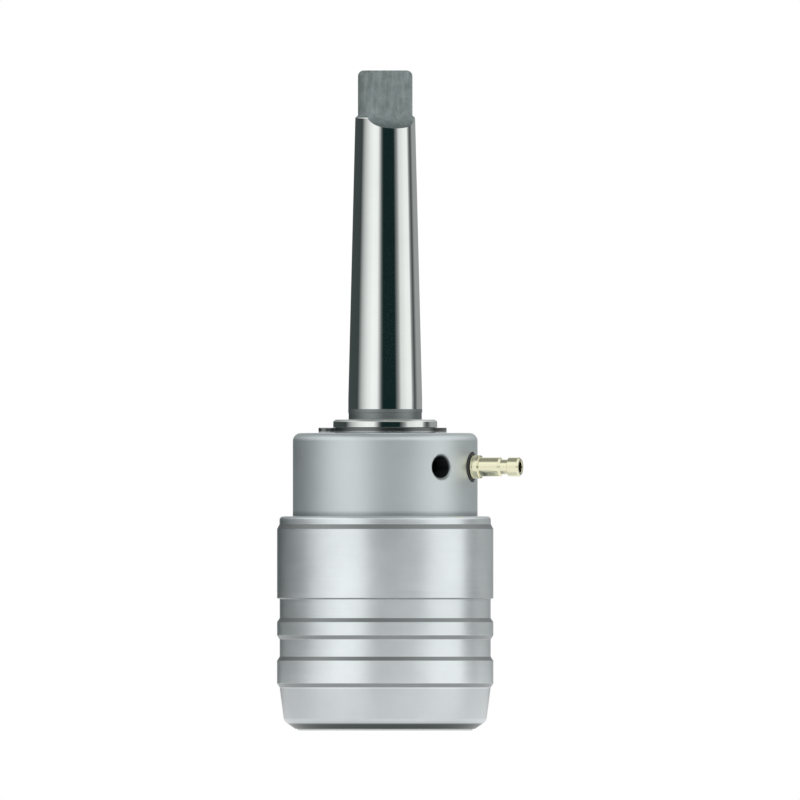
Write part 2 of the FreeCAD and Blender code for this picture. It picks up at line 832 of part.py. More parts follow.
def sleeve_spring():
    widest_r = (body_r + sleeve_bore_r) / 2
    span = (sleeve_spring_bottom, sleeve_spring_top)
    return coil_spring(widest_r, sleeve_spring_wire_d, sleeve_spring_turns, *span)


def plunger_spring():
    widest_r = chamber_r - plunger_spring_side_gap - plunger_spring_wire_d / 2
    span = (plunger_spring_bottom, plunger_spring_top)
    return coil_spring(widest_r, plunger_spring_wire_d, plunger_spring_turns, *span)


def all_pieces():
    shaft_seal_inner_r = journal_r + seal_gap
    lower_washer_z = flange_top + seat_gap
    upper_washer_z = ring_top - upper_washer_thickness
    pieces = {
        "arbor_body": arbor_body(),
        "nose_ring": nose_ring(),
        "nose_snap_ring": nose_snap_ring(),
        "guide_dowels": guide_dowels(),
        "sleeve_wiper": square_seal(wiper_inner_r, wiper_section, wiper_z),
        "sleeve_spring": sleeve_spring(),
        "retaining_circlip": retaining_circlip(),
        "lower_thrust_washer": thrust_washer(lower_washer_width, lower_washer_z, lower_washer_thickness),
        "plunger_washer": plunger_washer(),
        "plunger_circlip": plunger_circlip(),
        "plunger_spring": plunger_spring(),
        "grip_sleeve": grip_sleeve(),
        "cam_ring": cam_ring(),
        "pilot_plunger": pilot_plunger(),
        "plunger_seal": square_seal(plunger_seal_inner_r, plunger_seal_section, plunger_seal_z),
        "coolant_ring": coolant_ring(),
        "lower_bush": bush(ring_bottom + bush_lead, lower_bush_length),
        "upper_bush": bush(upper_seat_bottom + bush_lead, upper_bush_length),
        "lower_shaft_seal": square_seal(shaft_seal_inner_r, shaft_seal_section, lower_seal_z),
        "upper_shaft_seal": square_seal(shaft_seal_inner_r, shaft_seal_section, upper_seal_z),
        "upper_thrust_washer": thrust_washer(upper_washer_width, upper_washer_z, upper_washer_thickness),
        "hose_nipple": hose_nipple(),
        "nipple_washer": nipple_washer(),
    }
    for name, azimuth in pin_azimuths.items():
        pieces[name] = locking_pin(azimuth)
    return pieces


def main():
    os.makedirs("parts", exist_ok=True)
    for name, shape in all_pieces().items():
        shape.exportStep(f"parts/{name}.step")
        print(f"{name}: {len(shape.Solids)} solid, volume {shape.Volume:.1f} mm3, valid {shape.isValid()}")


main()
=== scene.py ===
"""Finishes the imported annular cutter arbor: turned steel, springs, ports, and a plain studio.

Every CAD piece that shows is turned again here as a fine mesh with eased edges, in the place and
at the size of its node, and gets a finish of its own. Outlines are in millimetres, as
(distance from the axis, height), and go round the metal with the metal on their left.
"""

import math

import bpy
from mathutils import Matrix, Vector


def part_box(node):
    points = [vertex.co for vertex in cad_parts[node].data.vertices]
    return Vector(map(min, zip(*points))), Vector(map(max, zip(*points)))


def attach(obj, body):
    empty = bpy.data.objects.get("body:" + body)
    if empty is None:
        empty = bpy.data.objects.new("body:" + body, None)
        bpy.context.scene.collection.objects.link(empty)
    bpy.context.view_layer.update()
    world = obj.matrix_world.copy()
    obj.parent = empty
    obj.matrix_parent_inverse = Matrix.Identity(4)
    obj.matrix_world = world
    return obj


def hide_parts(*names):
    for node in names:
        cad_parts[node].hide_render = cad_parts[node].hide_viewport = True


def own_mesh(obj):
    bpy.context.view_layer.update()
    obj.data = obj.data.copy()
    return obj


bl_info = {
    "name": "Annular Cutter Arbor",
    "version": (1, 0, 0),
    "blender": (4, 5, 0),
    "location": "3D View > Sidebar > Arbor",
    "description": "Turned pieces, finishes and a studio for a quick-change cutter arbor",
    "category": "Object",
}

MM = 0.001
ON_AXIS = 1e-6

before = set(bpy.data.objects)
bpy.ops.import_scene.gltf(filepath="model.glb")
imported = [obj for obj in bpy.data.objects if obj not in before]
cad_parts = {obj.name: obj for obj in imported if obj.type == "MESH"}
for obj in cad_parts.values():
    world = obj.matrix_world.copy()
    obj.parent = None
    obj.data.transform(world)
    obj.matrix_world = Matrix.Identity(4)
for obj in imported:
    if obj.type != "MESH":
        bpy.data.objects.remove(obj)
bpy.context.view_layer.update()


def heights(node):
    """Lowest and highest place of a CAD node, in millimetres above the bench."""
    low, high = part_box(node)
    return low.z / MM, high.z / MM


def radii(node):
    """Nearest and farthest distance of a CAD node's corners from the arbor's axis, in millimetres."""
    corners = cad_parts[node].data.vertices
    distances = [math.hypot(corner.co.x, corner.co.y) / MM for corner in corners]
    return min(distances), max(distances)


# Gaps of the solids, which the fine meshes keep
SEAT_GAP = 0.05
PRESS_GAP = 0.02
RUNNING_GAP = 0.03
LOOSE_GAP = 0.12
FLANGE_GAP = 0.5
PLUNGER_END_GAP = 0.1
BUSH_END_GAP = 0.25
# How far a cutter reaches out past the metal
CUT_BEYOND = 1.0

# Arbor body, from the nose up
NECK_R = 16.0
BODY_R = 17.0
SOCKET_R = 9.53
SOCKET_CHAMFER = 0.8
BURR_RELIEF = 0.35
BURR_RELIEF_MARGIN = 1.0
PIN_HEIGHT = 16.5
PIN_NOSE_AT = 8.35
PIN_NOSE_R = 3.5
PIN_NOSE_CHAMFER = 0.4
PIN_HEAD_R = 4.5
PIN_HEAD_SEAT = 12.2
PIN_DOME_R = 5.0
PIN_DOME_STEPS = 10
PIN_DOME_ROUND = 1.0
PIN_HEAD_ROUND = 0.2
PIN_WINDOW_START = 6.0
PIN_DIRECTIONS = {"locking_pin_front": -90.0, "locking_pin_side": 0.0}
DOWEL_DIRECTIONS = (90.0, 180.0)
DOWEL_HEIGHT = 25.0
DOWEL_HOLE_R = 1.52
DOWEL_HOLE_FLOOR = 12.5
SNAP_GROOVE_R = 15.2
SNAP_RING_WIDTH = 1.7
SNAP_RING_ROOM = 0.6
NOSE_RING_CHAMFER = 0.3
RECESS_R = 7.5
RECESS_GROOVE_R = 7.85
CHAMBER_R = 5.1
DRILL_ANGLE = 118.0
CROSS_HOLE_R = 1.75
CROSS_HOLE_START = 3.0
CROSS_HOLE_BELOW_PORT = 0.95
CROSS_HOLE_DIRECTIONS = (-90.0, 30.0, 150.0)
FLANGE_THICKNESS = 2.9
WIPER_GROOVE_HALF = 0.77
CIRCLIP_SLACK = 0.05

# Shank, from the journal's top to the tang
JOURNAL_CHAMFER = 0.5
JOURNAL_STAND = 2.0
RELIEF_LENGTH = 1.65
RELIEF_DEPTH = 0.1
LAND_LENGTH = 3.4
LAND_MATT_BAND = 0.9
GAUGE_R = 8.89
GAUGE_TO_TANG_END = 75.0
TAPER_PER_MM = 0.04995
TANG_TURNED_LENGTH = 11.0
TANG_FLAT_LENGTH = 8.4
TANG_STEP = 0.65
TANG_SHOULDER_CHAMFER = 0.5
TANG_SHOULDER_ROUND = 0.5
TANG_ROOT_ROUND = 0.3
TANG_HALF_THICKNESS = 3.15
TANG_RUNOUT_R = 6.0
TANG_RUNOUT_STEPS = 16
TANG_CUTTER_REACH = 12.0
TANG_END_ROUND = 1.4
TANG_DIRECTION = -70.0
CENTRE_HOLE_R = 1.5
CENTRE_HOLE_ANGLE = 60.0

# Grip sleeve. Its bands go from the nose up, each with its name, its rise, and how far its upper
# edge lies inside the grip's radius.
SLEEVE_RIM = 0.3
SLEEVE_MOUTH_CHAMFER = 0.25
SLEEVE_BANDS = (
    ("nose chamfer", 1.9, 1.7),
    ("nose taper", 8.2, 0.65),
    ("flank", 1.0, 0.0),
    ("low rib", 5.5, 0.0),
    ("flank", 1.0, 0.65),
    ("low groove", 4.2, 0.65),
    ("flank", 1.0, 0.0),
    ("middle rib", 3.2, 0.0),
    ("flank", 1.0, 0.65),
    ("high groove", 4.6, 0.65),
    ("sharp flank", 0.25, 0.0),
)
NOSE_ROUND = 1.6
TOP_BAND_HEIGHT = 1.95
TOP_BAND_INSET = 0.6
TOP_BAND_FLANK = 1.15
TOP_BAND_ROUND = 0.95
STEPS_ABOVE_NOSE = 3.0
STEP_SLOPE = 0.3
STEP_DEPTH = 0.8

# Cam ring in the sleeve
CAM_GUIDE_R = 17.03
CAM_RELIEF = 0.15
CAM_CHAMFER = 0.4
CONE_TOP = 20.3
CONE_BOTTOM = 10.01
CAM_SLOPE = 0.25
KEYWAY_WIDTH = 3.16
KEYWAY_START = 10.0
KEYWAY_REACH = 18.5
KEYWAY_BOTTOM = 17.3

# Coolant ring and its ports
RING_TOP_ROUND = 2.0
RING_CHAMFER = 0.4
RING_BORE_GAP = 0.15
SEAL_GROOVE_HALF = 1.0
GALLERY_DEPTH = 2.3
GALLERY_HALF = 2.1
PORT_HEIGHT = 64.2
THREAD_CORE_R = 2.5
ARM_DIRECTION = -52.0
ARM_DEPTH = 6.0
ARM_COUNTERSINK_R = 3.3
NIPPLE_DIRECTION = -19.0
NIPPLE_PASSAGE_R = 1.1
SPOT_FACE_R = 3.7
SPOT_FACE_DEPTH = 0.8

# Hose nipple, along its own axis from the spot face
NIPPLE_THREAD_LENGTH = 4.6
NIPPLE_WASHER_R = 3.5
NIPPLE_WASHER_THICKNESS = 0.9
COLLAR_R = 2.9
COLLAR_LENGTH = 2.05
COLLAR_GROOVE_AT = 0.45
COLLAR_GROOVE_WIDTH = 0.3
COLLAR_GROOVE_DEPTH = 0.25
COLLAR_GROOVE_ROUND = 0.05
COLLAR_ROUND = 0.25
STEM_R = 2.35
STEM_LENGTH = 5.4
STEM_CHAMFER = 0.45
NIPPLE_NECK_R = 1.85
NIPPLE_NECK_LENGTH = 1.9
TIP_LENGTH = 2.9
TIP_CHAMFER = 0.4
NIPPLE_BORE_R = 1.35
NIPPLE_THREAD_ROUND = 0.3
STEM_ROUND = 0.08
NIPPLE_NECK_ROUND = 0.15
TIP_BACK_ROUND = 0.12
TIP_ROUND = 0.1
NIPPLE_MOUTH_ROUND = 0.2

# Plunger
PLUNGER_HEAD_GAP = 0.15
PLUNGER_STEM_R = 3.4
PLUNGER_CUP_R = 2.0
PLUNGER_CUP_DEPTH = 1.0
PLUNGER_SPIGOT_R = 2.8
PLUNGER_SPIGOT_LENGTH = 3.0
PLUNGER_SEAL_HALF = 0.87
PLUNGER_END_ROUND = 0.2
PLUNGER_HEAD_ROUND = 0.3
PLUNGER_SPIGOT_ROUND = 0.6

# Springs
SLEEVE_SPRING_TURNS = 4
SLEEVE_SPRING_WIRE_R = 1.0
PLUNGER_SPRING_TURNS = 12
PLUNGER_SPRING_WIRE_R = 0.45
PLUNGER_SPRING_GAP = 0.4
CLOSED_TURN_RISE = 1.02

# How far the edges are eased of the pieces that keep the frame's own shape
CLIP_EASING = 0.09
DOWEL_EASING = 0.15

# Heights that several pieces share, from the frame
BODY_BOTTOM, TANG_END = heights("arbor_body")
NOSE_RING_BOTTOM, NOSE_RING_TOP = heights("nose_ring")
SNAP_BOTTOM, SNAP_TOP = heights("nose_snap_ring")
SLEEVE_BOTTOM, SLEEVE_TOP = heights("grip_sleeve")
CAM_BOTTOM, CAM_TOP = heights("cam_ring")
SLEEVE_SPRING_BOTTOM, SLEEVE_SPRING_TOP = heights("sleeve_spring")
PLUNGER_SPRING_BOTTOM, PLUNGER_SPRING_TOP = heights("plunger_spring")
RING_BOTTOM, RING_TOP = heights("coolant_ring")
CIRCLIP_BOTTOM, CIRCLIP_TOP = heights("retaining_circlip")
PLUNGER_CLIP_BOTTOM, PLUNGER_CLIP_TOP = heights("plunger_circlip")
WASHER_RECESS_FLOOR = heights("upper_thrust_washer")[0] - SEAT_GAP
FLANGE_BOTTOM = SLEEVE_SPRING_TOP + SEAT_GAP
FLANGE_TOP = FLANGE_BOTTOM + FLANGE_THICKNESS
WIPER_MIDDLE = (FLANGE_BOTTOM + FLANGE_TOP) / 2
SOCKET_TOP = heights("pilot_plunger")[0] - PLUNGER_END_GAP
CHAMBER_BOTTOM = heights("plunger_washer")[1] + SEAT_GAP
CHAMBER_TOP = PLUNGER_SPRING_TOP + SEAT_GAP
JOURNAL_TOP = CIRCLIP_TOP + JOURNAL_STAND
SHANK_BOTTOM = JOURNAL_TOP + RELIEF_LENGTH
LAND_TOP = SHANK_BOTTOM + LAND_LENGTH
GAUGE_HEIGHT = TANG_END - GAUGE_TO_TANG_END
TANG_SHOULDER = TANG_END - TANG_TURNED_LENGTH
TANG_FLAT_BOTTOM = TANG_END - TANG_FLAT_LENGTH

# Distances from the axis that the frame gives
GRIP_R = radii("grip_sleeve")[1]
SLEEVE_LIP_R = radii("grip_sleeve")[0]
SLEEVE_BORE_R = radii("cam_ring")[1] + PRESS_GAP
RING_R = radii("coolant_ring")[1]
FLANGE_R = SLEEVE_BORE_R - FLANGE_GAP
JOURNAL_R = radii("lower_bush")[0] - RUNNING_GAP
CIRCLIP_GROOVE_R = radii("retaining_circlip")[0] - PRESS_GAP
RING_BORE_R = JOURNAL_R + RING_BORE_GAP
BUSH_SEAT_R = radii("lower_bush")[1] + PRESS_GAP
SEAL_GROOVE_R = radii("lower_shaft_seal")[1] + PRESS_GAP
GALLERY_R = JOURNAL_R + GALLERY_DEPTH
WASHER_RECESS_R = radii("upper_thrust_washer")[1] + LOOSE_GAP
SPOT_FACE_AT = RING_R - SPOT_FACE_DEPTH

# Where the object stands in the photograph, which is 800 pixels each way
PHOTO_WIDTH = 800
PHOTO_PIXELS_PER_MM = 4.105
PHOTO_AXIS_COLUMN = 385.2
PHOTO_BENCH_ROW = 730.5

HALF_TURN = 180.0
# Brightness of the studio's wall at the arbor's level, and above and below it, each after its
# azimuth in degrees from the camera's side towards +X
LEVEL_LIGHT = (
    (-180.0, 0.25),
    (-165.0, 0.05),
    (-97.0, 0.04),
    (-78.0, 0.5),
    (-60.0, 0.8),
    (-42.0, 0.96),
    (-26.0, 0.92),
    (-13.0, 0.10),
    (-7.0, 0.0),
    (32.0, 0.0),
    (44.0, 0.28),
    (52.0, 0.72),
    (75.0, 0.92),
    (90.0, 0.92),
    (96.0, 0.30),
    (107.0, 0.04),
    (122.0, 0.33),
    (152.0, 0.33),
    (180.0, 0.25),
)
RAISED_LIGHT = (
    (-180.0, 0.2),
    (-150.0, 0.3),
    (-125.0, 0.55),
    (-92.0, 1.0),
    (-50.0, 1.2),
    (-15.0, 0.75),
    (18.0, 0.85),
    (44.0, 1.15),
    (72.0, 1.05),
    (108.0, 1.0),
    (140.0, 0.6),
    (180.0, 0.35),
)
# The white backdrop stands behind the arbor, and the metal shows it from this azimuth on.
BACKDROP_EDGE = 166.0
# Between these steepnesses in degrees one wall goes over into the other, and the wall ends.
LEVEL_BAND = (6.0, 14.0)
LIGHT_TOP = (46.0, 66.0)
# The floor shows this share of white as far out as the shadow reaches, and only white at its edge.
FLOOR_WHITE = 0.72
SHADOW_REACH = 0.07
FLOOR_COLOUR = (0.92, 0.92, 0.92)
FLOOR_ROUGHNESS = 0.9
WHITE = (1.0, 1.0, 1.0)
LAMP_SIZE = 1.6
LAMP_PLACE = (0.0, -0.2, 1.6)
CAMERA_CLIP_START = 0.01


class ArborTurning(bpy.types.PropertyGroup):
    """Sizes of the turned meshes."""

    segments: bpy.props.IntProperty(
        name="Segments", description="Faces round a large turned piece", default=192, min=48
    )
    small_segments: bpy.props.IntProperty(
        name="Small segments", description="Faces round a small turned piece", default=96, min=24
    )
    easing: bpy.props.FloatProperty(
        name="Edge easing",
        description="Radius on edges that are left sharp on a drawing, in millimetres",
        default=0.12,
        min=0.01,
    )
    arc_step: bpy.props.FloatProperty(
        name="Arc step",
        description="Widest turn between two points of a rounded corner",
        default=math.radians(15.0),
        subtype="ANGLE",
    )
    thread_pitch: bpy.props.FloatProperty(
        name="Thread pitch",
        description="Rise of one turn of the arm hole's thread, in millimetres",
        default=1.0,
    )
    thread_depth: bpy.props.FloatProperty(
        name="Thread depth", description="From crest to root, in millimetres", default=0.5
    )


class ArborFinish(bpy.types.PropertyGroup):
    """Colours and roughness of the finishes."""

    ground_colour: bpy.props.FloatVectorProperty(
        name="Ground steel",
        description="Shank and journal",
        subtype="COLOR",
        default=(0.93, 0.95, 0.94),
    )
    ground_roughness: bpy.props.FloatProperty(
        name="Ground roughness", description="Shank and journal", default=0.07, subtype="FACTOR"
    )
    tang_colour: bpy.props.FloatVectorProperty(
        name="Tang",
        description="Unground steel above the shank",
        subtype="COLOR",
        default=(0.40, 0.46, 0.465),
    )
    sleeve_colour: bpy.props.FloatVectorProperty(
        name="Sleeve",
        description="Satin turned steel",
        subtype="COLOR",
        default=(0.885, 0.93, 0.955),
    )
    sleeve_roughness: bpy.props.FloatProperty(
        name="Sleeve roughness", description="Satin turned steel", default=0.34, subtype="FACTOR"
    )
    ring_colour: bpy.props.FloatVectorProperty(
        name="Coolant ring",
        description="Blasted aluminium",
        subtype="COLOR",
        default=(0.715, 0.765, 0.785),
    )
    ring_roughness: bpy.props.FloatProperty(
        name="Coolant ring roughness", description="Blasted aluminium", default=0.45, subtype="FACTOR"
    )
    nipple_colour: bpy.props.FloatVectorProperty(
        name="Nipple", description="Pale brass", subtype="COLOR", default=(0.86, 0.83, 0.61)
    )
    clip_colour: bpy.props.FloatVectorProperty(
        name="Clips",
        description="Blackened spring steel",
        subtype="COLOR",
        default=(0.20, 0.21, 0.21),
    )


class ArborStudio(bpy.types.PropertyGroup):
    """Camera, lamps and floor."""

    camera_distance: bpy.props.FloatProperty(
        name="Camera distance",
        description="From the lens to the arbor's axis",
        default=2.0,
        unit="LENGTH",
    )
    floor_half: bpy.props.FloatProperty(
        name="Floor", description="Half of the floor's side", default=0.18, unit="LENGTH"
    )
    fill_power: bpy.props.FloatProperty(
        name="Overhead lamp", description="Power of the lamp above the arbor, in watts", default=17.0
    )
    ceiling_light: bpy.props.FloatProperty(
        name="Ceiling", description="Brightness of the studio's ceiling", default=0.3
    )
    dim_colour: bpy.props.FloatVectorProperty(
        name="Dim wall",
        description="Studio wall between the lights",
        subtype="COLOR",
        default=(0.006, 0.018, 0.018),
    )
    light_colour: bpy.props.FloatVectorProperty(
        name="Light",
        description="Colour of the soft lights",
        subtype="COLOR",
        default=(0.985, 1.0, 0.985),
    )


def turning():
    return bpy.context.scene.arbor_turning


def finish():
    return bpy.context.scene.arbor_finish


def studio():
    return bpy.context.scene.arbor_studio


# Outlines and turned meshes

# Below this, a corner is taken as straight.
STRAIGHT = 1e-4
# The most of a corner's shorter side that its easing takes up
EASING_ROOM = 0.45
SHARP_ANGLE = math.radians(40.0)
BEVEL_ANGLE = math.radians(35.0)
FLAT_ANGLE = math.radians(0.5)
WIRE_END_ANGLE = math.radians(60.0)
BROAD_FACE_WEIGHT = 80
WELD_DISTANCE = 1e-7
WIRE_CORNERS = 12
WIRE_RINGS_PER_TURN = 40
THREAD_CORNERS = 48
THREAD_RINGS_PER_TURN = 10
# A thread's height is the way to its crest times THREAD_RISE, less THREAD_ROOT, between 0 and 1.
THREAD_RISE = 1.5
THREAD_ROOT = 0.15


def rounded_corner(before, corner, after, radius, step):
    """Points of the arc that eases one corner of an outline, each with its outward normal."""
    arriving = (corner - before).normalized()
    leaving = (after - corner).normalized()
    bend = math.atan2(arriving.x * leaving.y - arriving.y * leaving.x, arriving.dot(leaving))
    side = 1.0 if bend > 0 else -1.0
    half_tangent = math.tan(abs(bend) / 2)
    if half_tangent < STRAIGHT:
        return [(corner, Vector((arriving.y, -arriving.x)))]
    room = EASING_ROOM * min((corner - before).length, (after - corner).length)
    arc_r = min(radius, room / half_tangent)
    start = corner - arriving * arc_r * half_tangent
    outward = Vector((arriving.y, -arriving.x))
    centre = start - side * arc_r * outward
    pieces = max(2, math.ceil(abs(bend) / step))
    points = []
    for number in range(pieces + 1):
        turn = Matrix.Rotation(bend * number / pieces, 2)
        normal = turn @ outward
        points.append((centre + side * arc_r * normal, normal))
    return points


def eased_outline(outline, closed):
    """The outline's corners eased. A third value in a point is that corner's own radius."""
    corners = [Vector(point[:2]) for point in outline]
    own = [point[2] if len(point) > 2 else turning().easing for point in outline]
    points = []
    last = len(corners) - 1
    for number, corner in enumerate(corners):
        if not closed and number in (0, last):
            neighbour = corners[1] if number == 0 else corners[last - 1]
            along = neighbour - corner if number == 0 else corner - neighbour
            along.normalize()
            points.append((corner, Vector((along.y, -along.x))))
            continue
        before = corners[number - 1]
        after = corners[(number + 1) % len(corners)]
        points += rounded_corner(before, corner, after, own[number], turning().arc_step)
    return points


def plain_mesh(name, vertices, faces):
    mesh = bpy.data.meshes.new(name)
    mesh.from_pydata(vertices, [], faces)
    return mesh


def tube_faces(rings, around):
    """The faces of a closed tube whose corners come ring by ring, with a flat face at each end."""
    faces = []
    for ring in range(rings - 1):
        low = ring * around
        high = low + around
        for number in range(around):
            beside = (number + 1) % around
            faces.append((low + number, low + beside, high + beside, high + number))
    faces.append(tuple(reversed(range(around))))
    faces.append(tuple(range((rings - 1) * around, rings * around)))
    return faces


def turned_mesh(name, outline, segments, closed=True):
    """The mesh that an outline makes when it goes round the axis, and its exact normals."""
    vertices = []
    normals = []
    rings = []
    for point, normal in eased_outline(outline, closed):
        if point.x < ON_AXIS:
            rings.append([len(vertices)] * segments)
            vertices.append((0.0, 0.0, point.y * MM))
            normals.append((0.0, 0.0, math.copysign(1.0, normal.y)))
            continue
        rings.append(list(range(len(vertices), len(vertices) + segments)))
        for number in range(segments):
            angle = 2 * math.pi * number / segments
            across, along = math.cos(angle), math.sin(angle)
            vertices.append((point.x * across * MM, point.x * along * MM, point.y * MM))
            normals.append((normal.x * across, normal.x * along, normal.y))
    faces = []
    following = rings[1:] + rings[:1] if closed else rings[1:]
    for ring, next_ring in zip(rings, following):
        for number in range(segments):
            beside = (number + 1) % segments
            corners = (ring[number], ring[beside], next_ring[beside], next_ring[number])
            face = list(dict.fromkeys(corners))
            if len(face) > 2:
                faces.append(face)
    mesh = plain_mesh(name, vertices, faces)
    mesh.shade_smooth()
    return mesh, normals


def new_piece(name, mesh):
    piece = bpy.data.objects.new(name, mesh)
    bpy.context.scene.collection.objects.link(piece)
    return piece


def turned_piece(name, outline, segments, closed=True, exact_normals=True):
    """A turned object on the arbor's axis."""
    mesh, normals = turned_mesh(name, outline, segments, closed)
    if exact_normals:
        mesh.normals_split_custom_set_from_vertices(normals)
    return new_piece(name, mesh)


def along_port(direction, height):
    """The placement that lays the turning axis outwards along a direction, in degrees from +X."""
    lay_down = Matrix.Rotation(math.pi / 2, 4, "Y")
    aim = Matrix.Rotation(math.radians(direction), 4, "Z")
    return Matrix.Translation((0.0, 0.0, height * MM)) @ aim @ lay_down


def laid_piece(name, outline, segments, direction, height, closed=True, exact_normals=True):
    """A turned object whose axis points outwards. Its outline's heights count from the arbor's axis."""
    mesh, normals = turned_mesh(name, outline, segments, closed)
    placement = along_port(direction, height)
    mesh.transform(placement)
    if exact_normals:
        turn = placement.to_3x3()
        mesh.normals_split_custom_set_from_vertices([turn @ Vector(normal) for normal in normals])
    return new_piece(name, mesh)


def laid_cutter(name, outline, direction, height):
    """A turned shape that cuts a hole inwards from the side."""
    return laid_piece(name, outline, turning().small_segments, direction, height, False, False)


def rod_outline(radius, start, end):
    return [(0.0, start), (radius, start), (radius, end), (0.0, end)]


def tube_outline(inner_r, outer_r, bottom, top):
    return [(inner_r, bottom), (outer_r, bottom), (outer_r, top), (inner_r, top)]


def bake_modifiers(piece):
    """Makes the object's modifiers part of its mesh."""
    evaluated = piece.evaluated_get(bpy.context.evaluated_depsgraph_get())
    mesh = bpy.data.meshes.new_from_object(evaluated)
    piece.modifiers.clear()
    old = piece.data
    piece.data = mesh
    bpy.data.meshes.remove(old)


def carve(piece, cutters):
    """Cuts closed shapes out of an object, one after another, and removes them."""
    for cutter in cutters:
        cut = piece.modifiers.new("cut", "BOOLEAN")
        cut.operation = "DIFFERENCE"
        cut.solver = "EXACT"
        cut.object = cutter
        bake_modifiers(piece)
        bpy.data.objects.remove(cutter)


def level_normals(piece):
    """Keeps broad faces flat in the light and the small easings round, after a cut."""
    piece.data.shade_smooth()
    piece.data.set_sharp_from_angle(angle=SHARP_ANGLE)
    weighted = piece.modifiers.new("level normals", "WEIGHTED_NORMAL")
    weighted.keep_sharp = True
    weighted.weight = BROAD_FACE_WEIGHT


def dress(piece, body, nodes, materials):
    """Gives an object its finishes, and puts it on its body in the place of CAD nodes."""
    piece.data.materials.clear()
    for material in materials:
        piece.data.materials.append(material)
    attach(piece, body)
    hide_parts(*nodes)


def eased_copy(name, node, width):
    """A copy of a CAD node with its flat faces made whole and its edges bevelled."""
    piece = new_piece(name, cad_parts[node].data.copy())
    weld = piece.modifiers.new("weld", "WELD")
    weld.merge_threshold = WELD_DISTANCE
    flats = piece.modifiers.new("whole flats", "DECIMATE")
    flats.decimate_type = "DISSOLVE"
    flats.angle_limit = FLAT_ANGLE
    bevel = piece.modifiers.new("bevel", "BEVEL")
    bevel.width = width * MM
    bevel.segments = 2
    bevel.limit_method = "ANGLE"
    bevel.angle_limit = BEVEL_ANGLE
    bake_modifiers(piece)
    level_normals(piece)
    return piece


def threaded_rod(name, core_r, start, end, direction, height):
    """A closed rod with a thread round it, for cutting a tapped hole."""
    pitch = turning().thread_pitch
    depth = turning().thread_depth
    around = THREAD_CORNERS
    steps = math.ceil((end - start) / pitch * THREAD_RINGS_PER_TURN)
    vertices = []
    for step in range(steps + 1):
        distance = start + (end - start) * step / steps
        for number in range(around):
            phase = (distance / pitch - number / around) % 1.0
            to_crest = 1.0 - abs(2.0 * phase - 1.0)
            ridge = min(1.0, max(0.0, THREAD_RISE * to_crest - THREAD_ROOT))
            radius = core_r + depth * ridge
            angle = 2 * math.pi * number / around
            across, along = math.cos(angle), math.sin(angle)
            vertices.append((radius * across * MM, radius * along * MM, distance * MM))
    mesh = plain_mesh(name, vertices, tube_faces(steps + 1, around))
    mesh.transform(along_port(direction, height))
    return new_piece(name, mesh)


def wound_wire(name, coil_r, wire_r, bottom, top, turns):
    """A compression spring of round wire with one closed turn at each end."""
    closed_rise = CLOSED_TURN_RISE * 2 * wire_r
    open_turns = turns - 2
    open_rise = (top - bottom - 2 * wire_r - 2 * closed_rise) / open_turns
    path = []
    for step in range(turns * WIRE_RINGS_PER_TURN + 1):
        turned = step / WIRE_RINGS_PER_TURN
        closed_part = min(turned, 1.0) + max(0.0, turned - turns + 1.0)
        open_part = turned - closed_part
        height = bottom + wire_r + closed_part * closed_rise + open_part * open_rise
        angle = 2 * math.pi * turned
        path.append(Vector((coil_r * math.cos(angle), coil_r * math.sin(angle), height)))
    vertices = []
    for number, centre in enumerate(path):
        before = path[max(0, number - 1)]
        after = path[min(len(path) - 1, number + 1)]
        along = (after - before).normalized()
        outward = Vector((centre.x, centre.y, 0.0)).normalized()
        upward = along.cross(outward).normalized()
        outward = upward.cross(along)
        for place in range(WIRE_CORNERS):
            angle = 2 * math.pi * place / WIRE_CORNERS
            corner = centre + wire_r * (math.cos(angle) * outward + math.sin(angle) * upward)
            vertices.append(corner * MM)
    mesh = plain_mesh(name, vertices, tube_faces(len(path), WIRE_CORNERS))
    mesh.shade_smooth()
    mesh.set_sharp_from_angle(angle=WIRE_END_ANGLE)
    return new_piece(name, mesh)


# Finishes

# An end face has this share of the tool marks to a millimetre that the outside has.
FACE_MARK_SHARE = 0.7
TANG_TARNISH = (0.24, 0.275, 0.275)
TANG_STREAKS_PER_METRE = (1500.0, 1500.0, 110.0)
# Deeper than this in the coolant ring's ports, and round the nipple's spot face, painted shade makes
# the metal dark.
PORT_SHADE_DEPTH = 0.9
PORT_SHADE_MARGIN = 0.3
PORT_SHADE = (0.012, 0.013, 0.014)
# Painted shade darkens the nose up to here, where it faces the floor, and the taper above it by a share
# of that.
NOSE_SHADE_HEIGHT = 1.5
NOSE_SHADE_FADE = 0.4
NOSE_PAINTED_SHADE = (0.085, 0.10, 0.10)
TAPER_SHADE_SHARE = 0.24
TAPER_SHADE_FADE = 0.5
# The highlights on the sleeve spread this much farther across the tool marks than along them.
SLEEVE_BRUSHING = 0.7
# Painted shade on the steps between the sleeve's bands, and how much rougher they are
STEP_SHADE = 0.36
STEP_ROUGHER = 0.08
# Painted shade darkens the ring up to here above the sleeve's rim, in the gap between them.
GAP_SHADE_HEIGHT = 1.4
GAP_SHADE_FADE = 0.9
GAP_SHADE_SHARE = 0.5
GAP_PAINTED_SHADE = (0.24, 0.27, 0.28)
# The lower third of a punched clip's edge is torn, and paler than the rest.
TORN_EDGE_SHARE = 0.36
TORN_EDGE_COLOUR = (0.42, 0.44, 0.44)


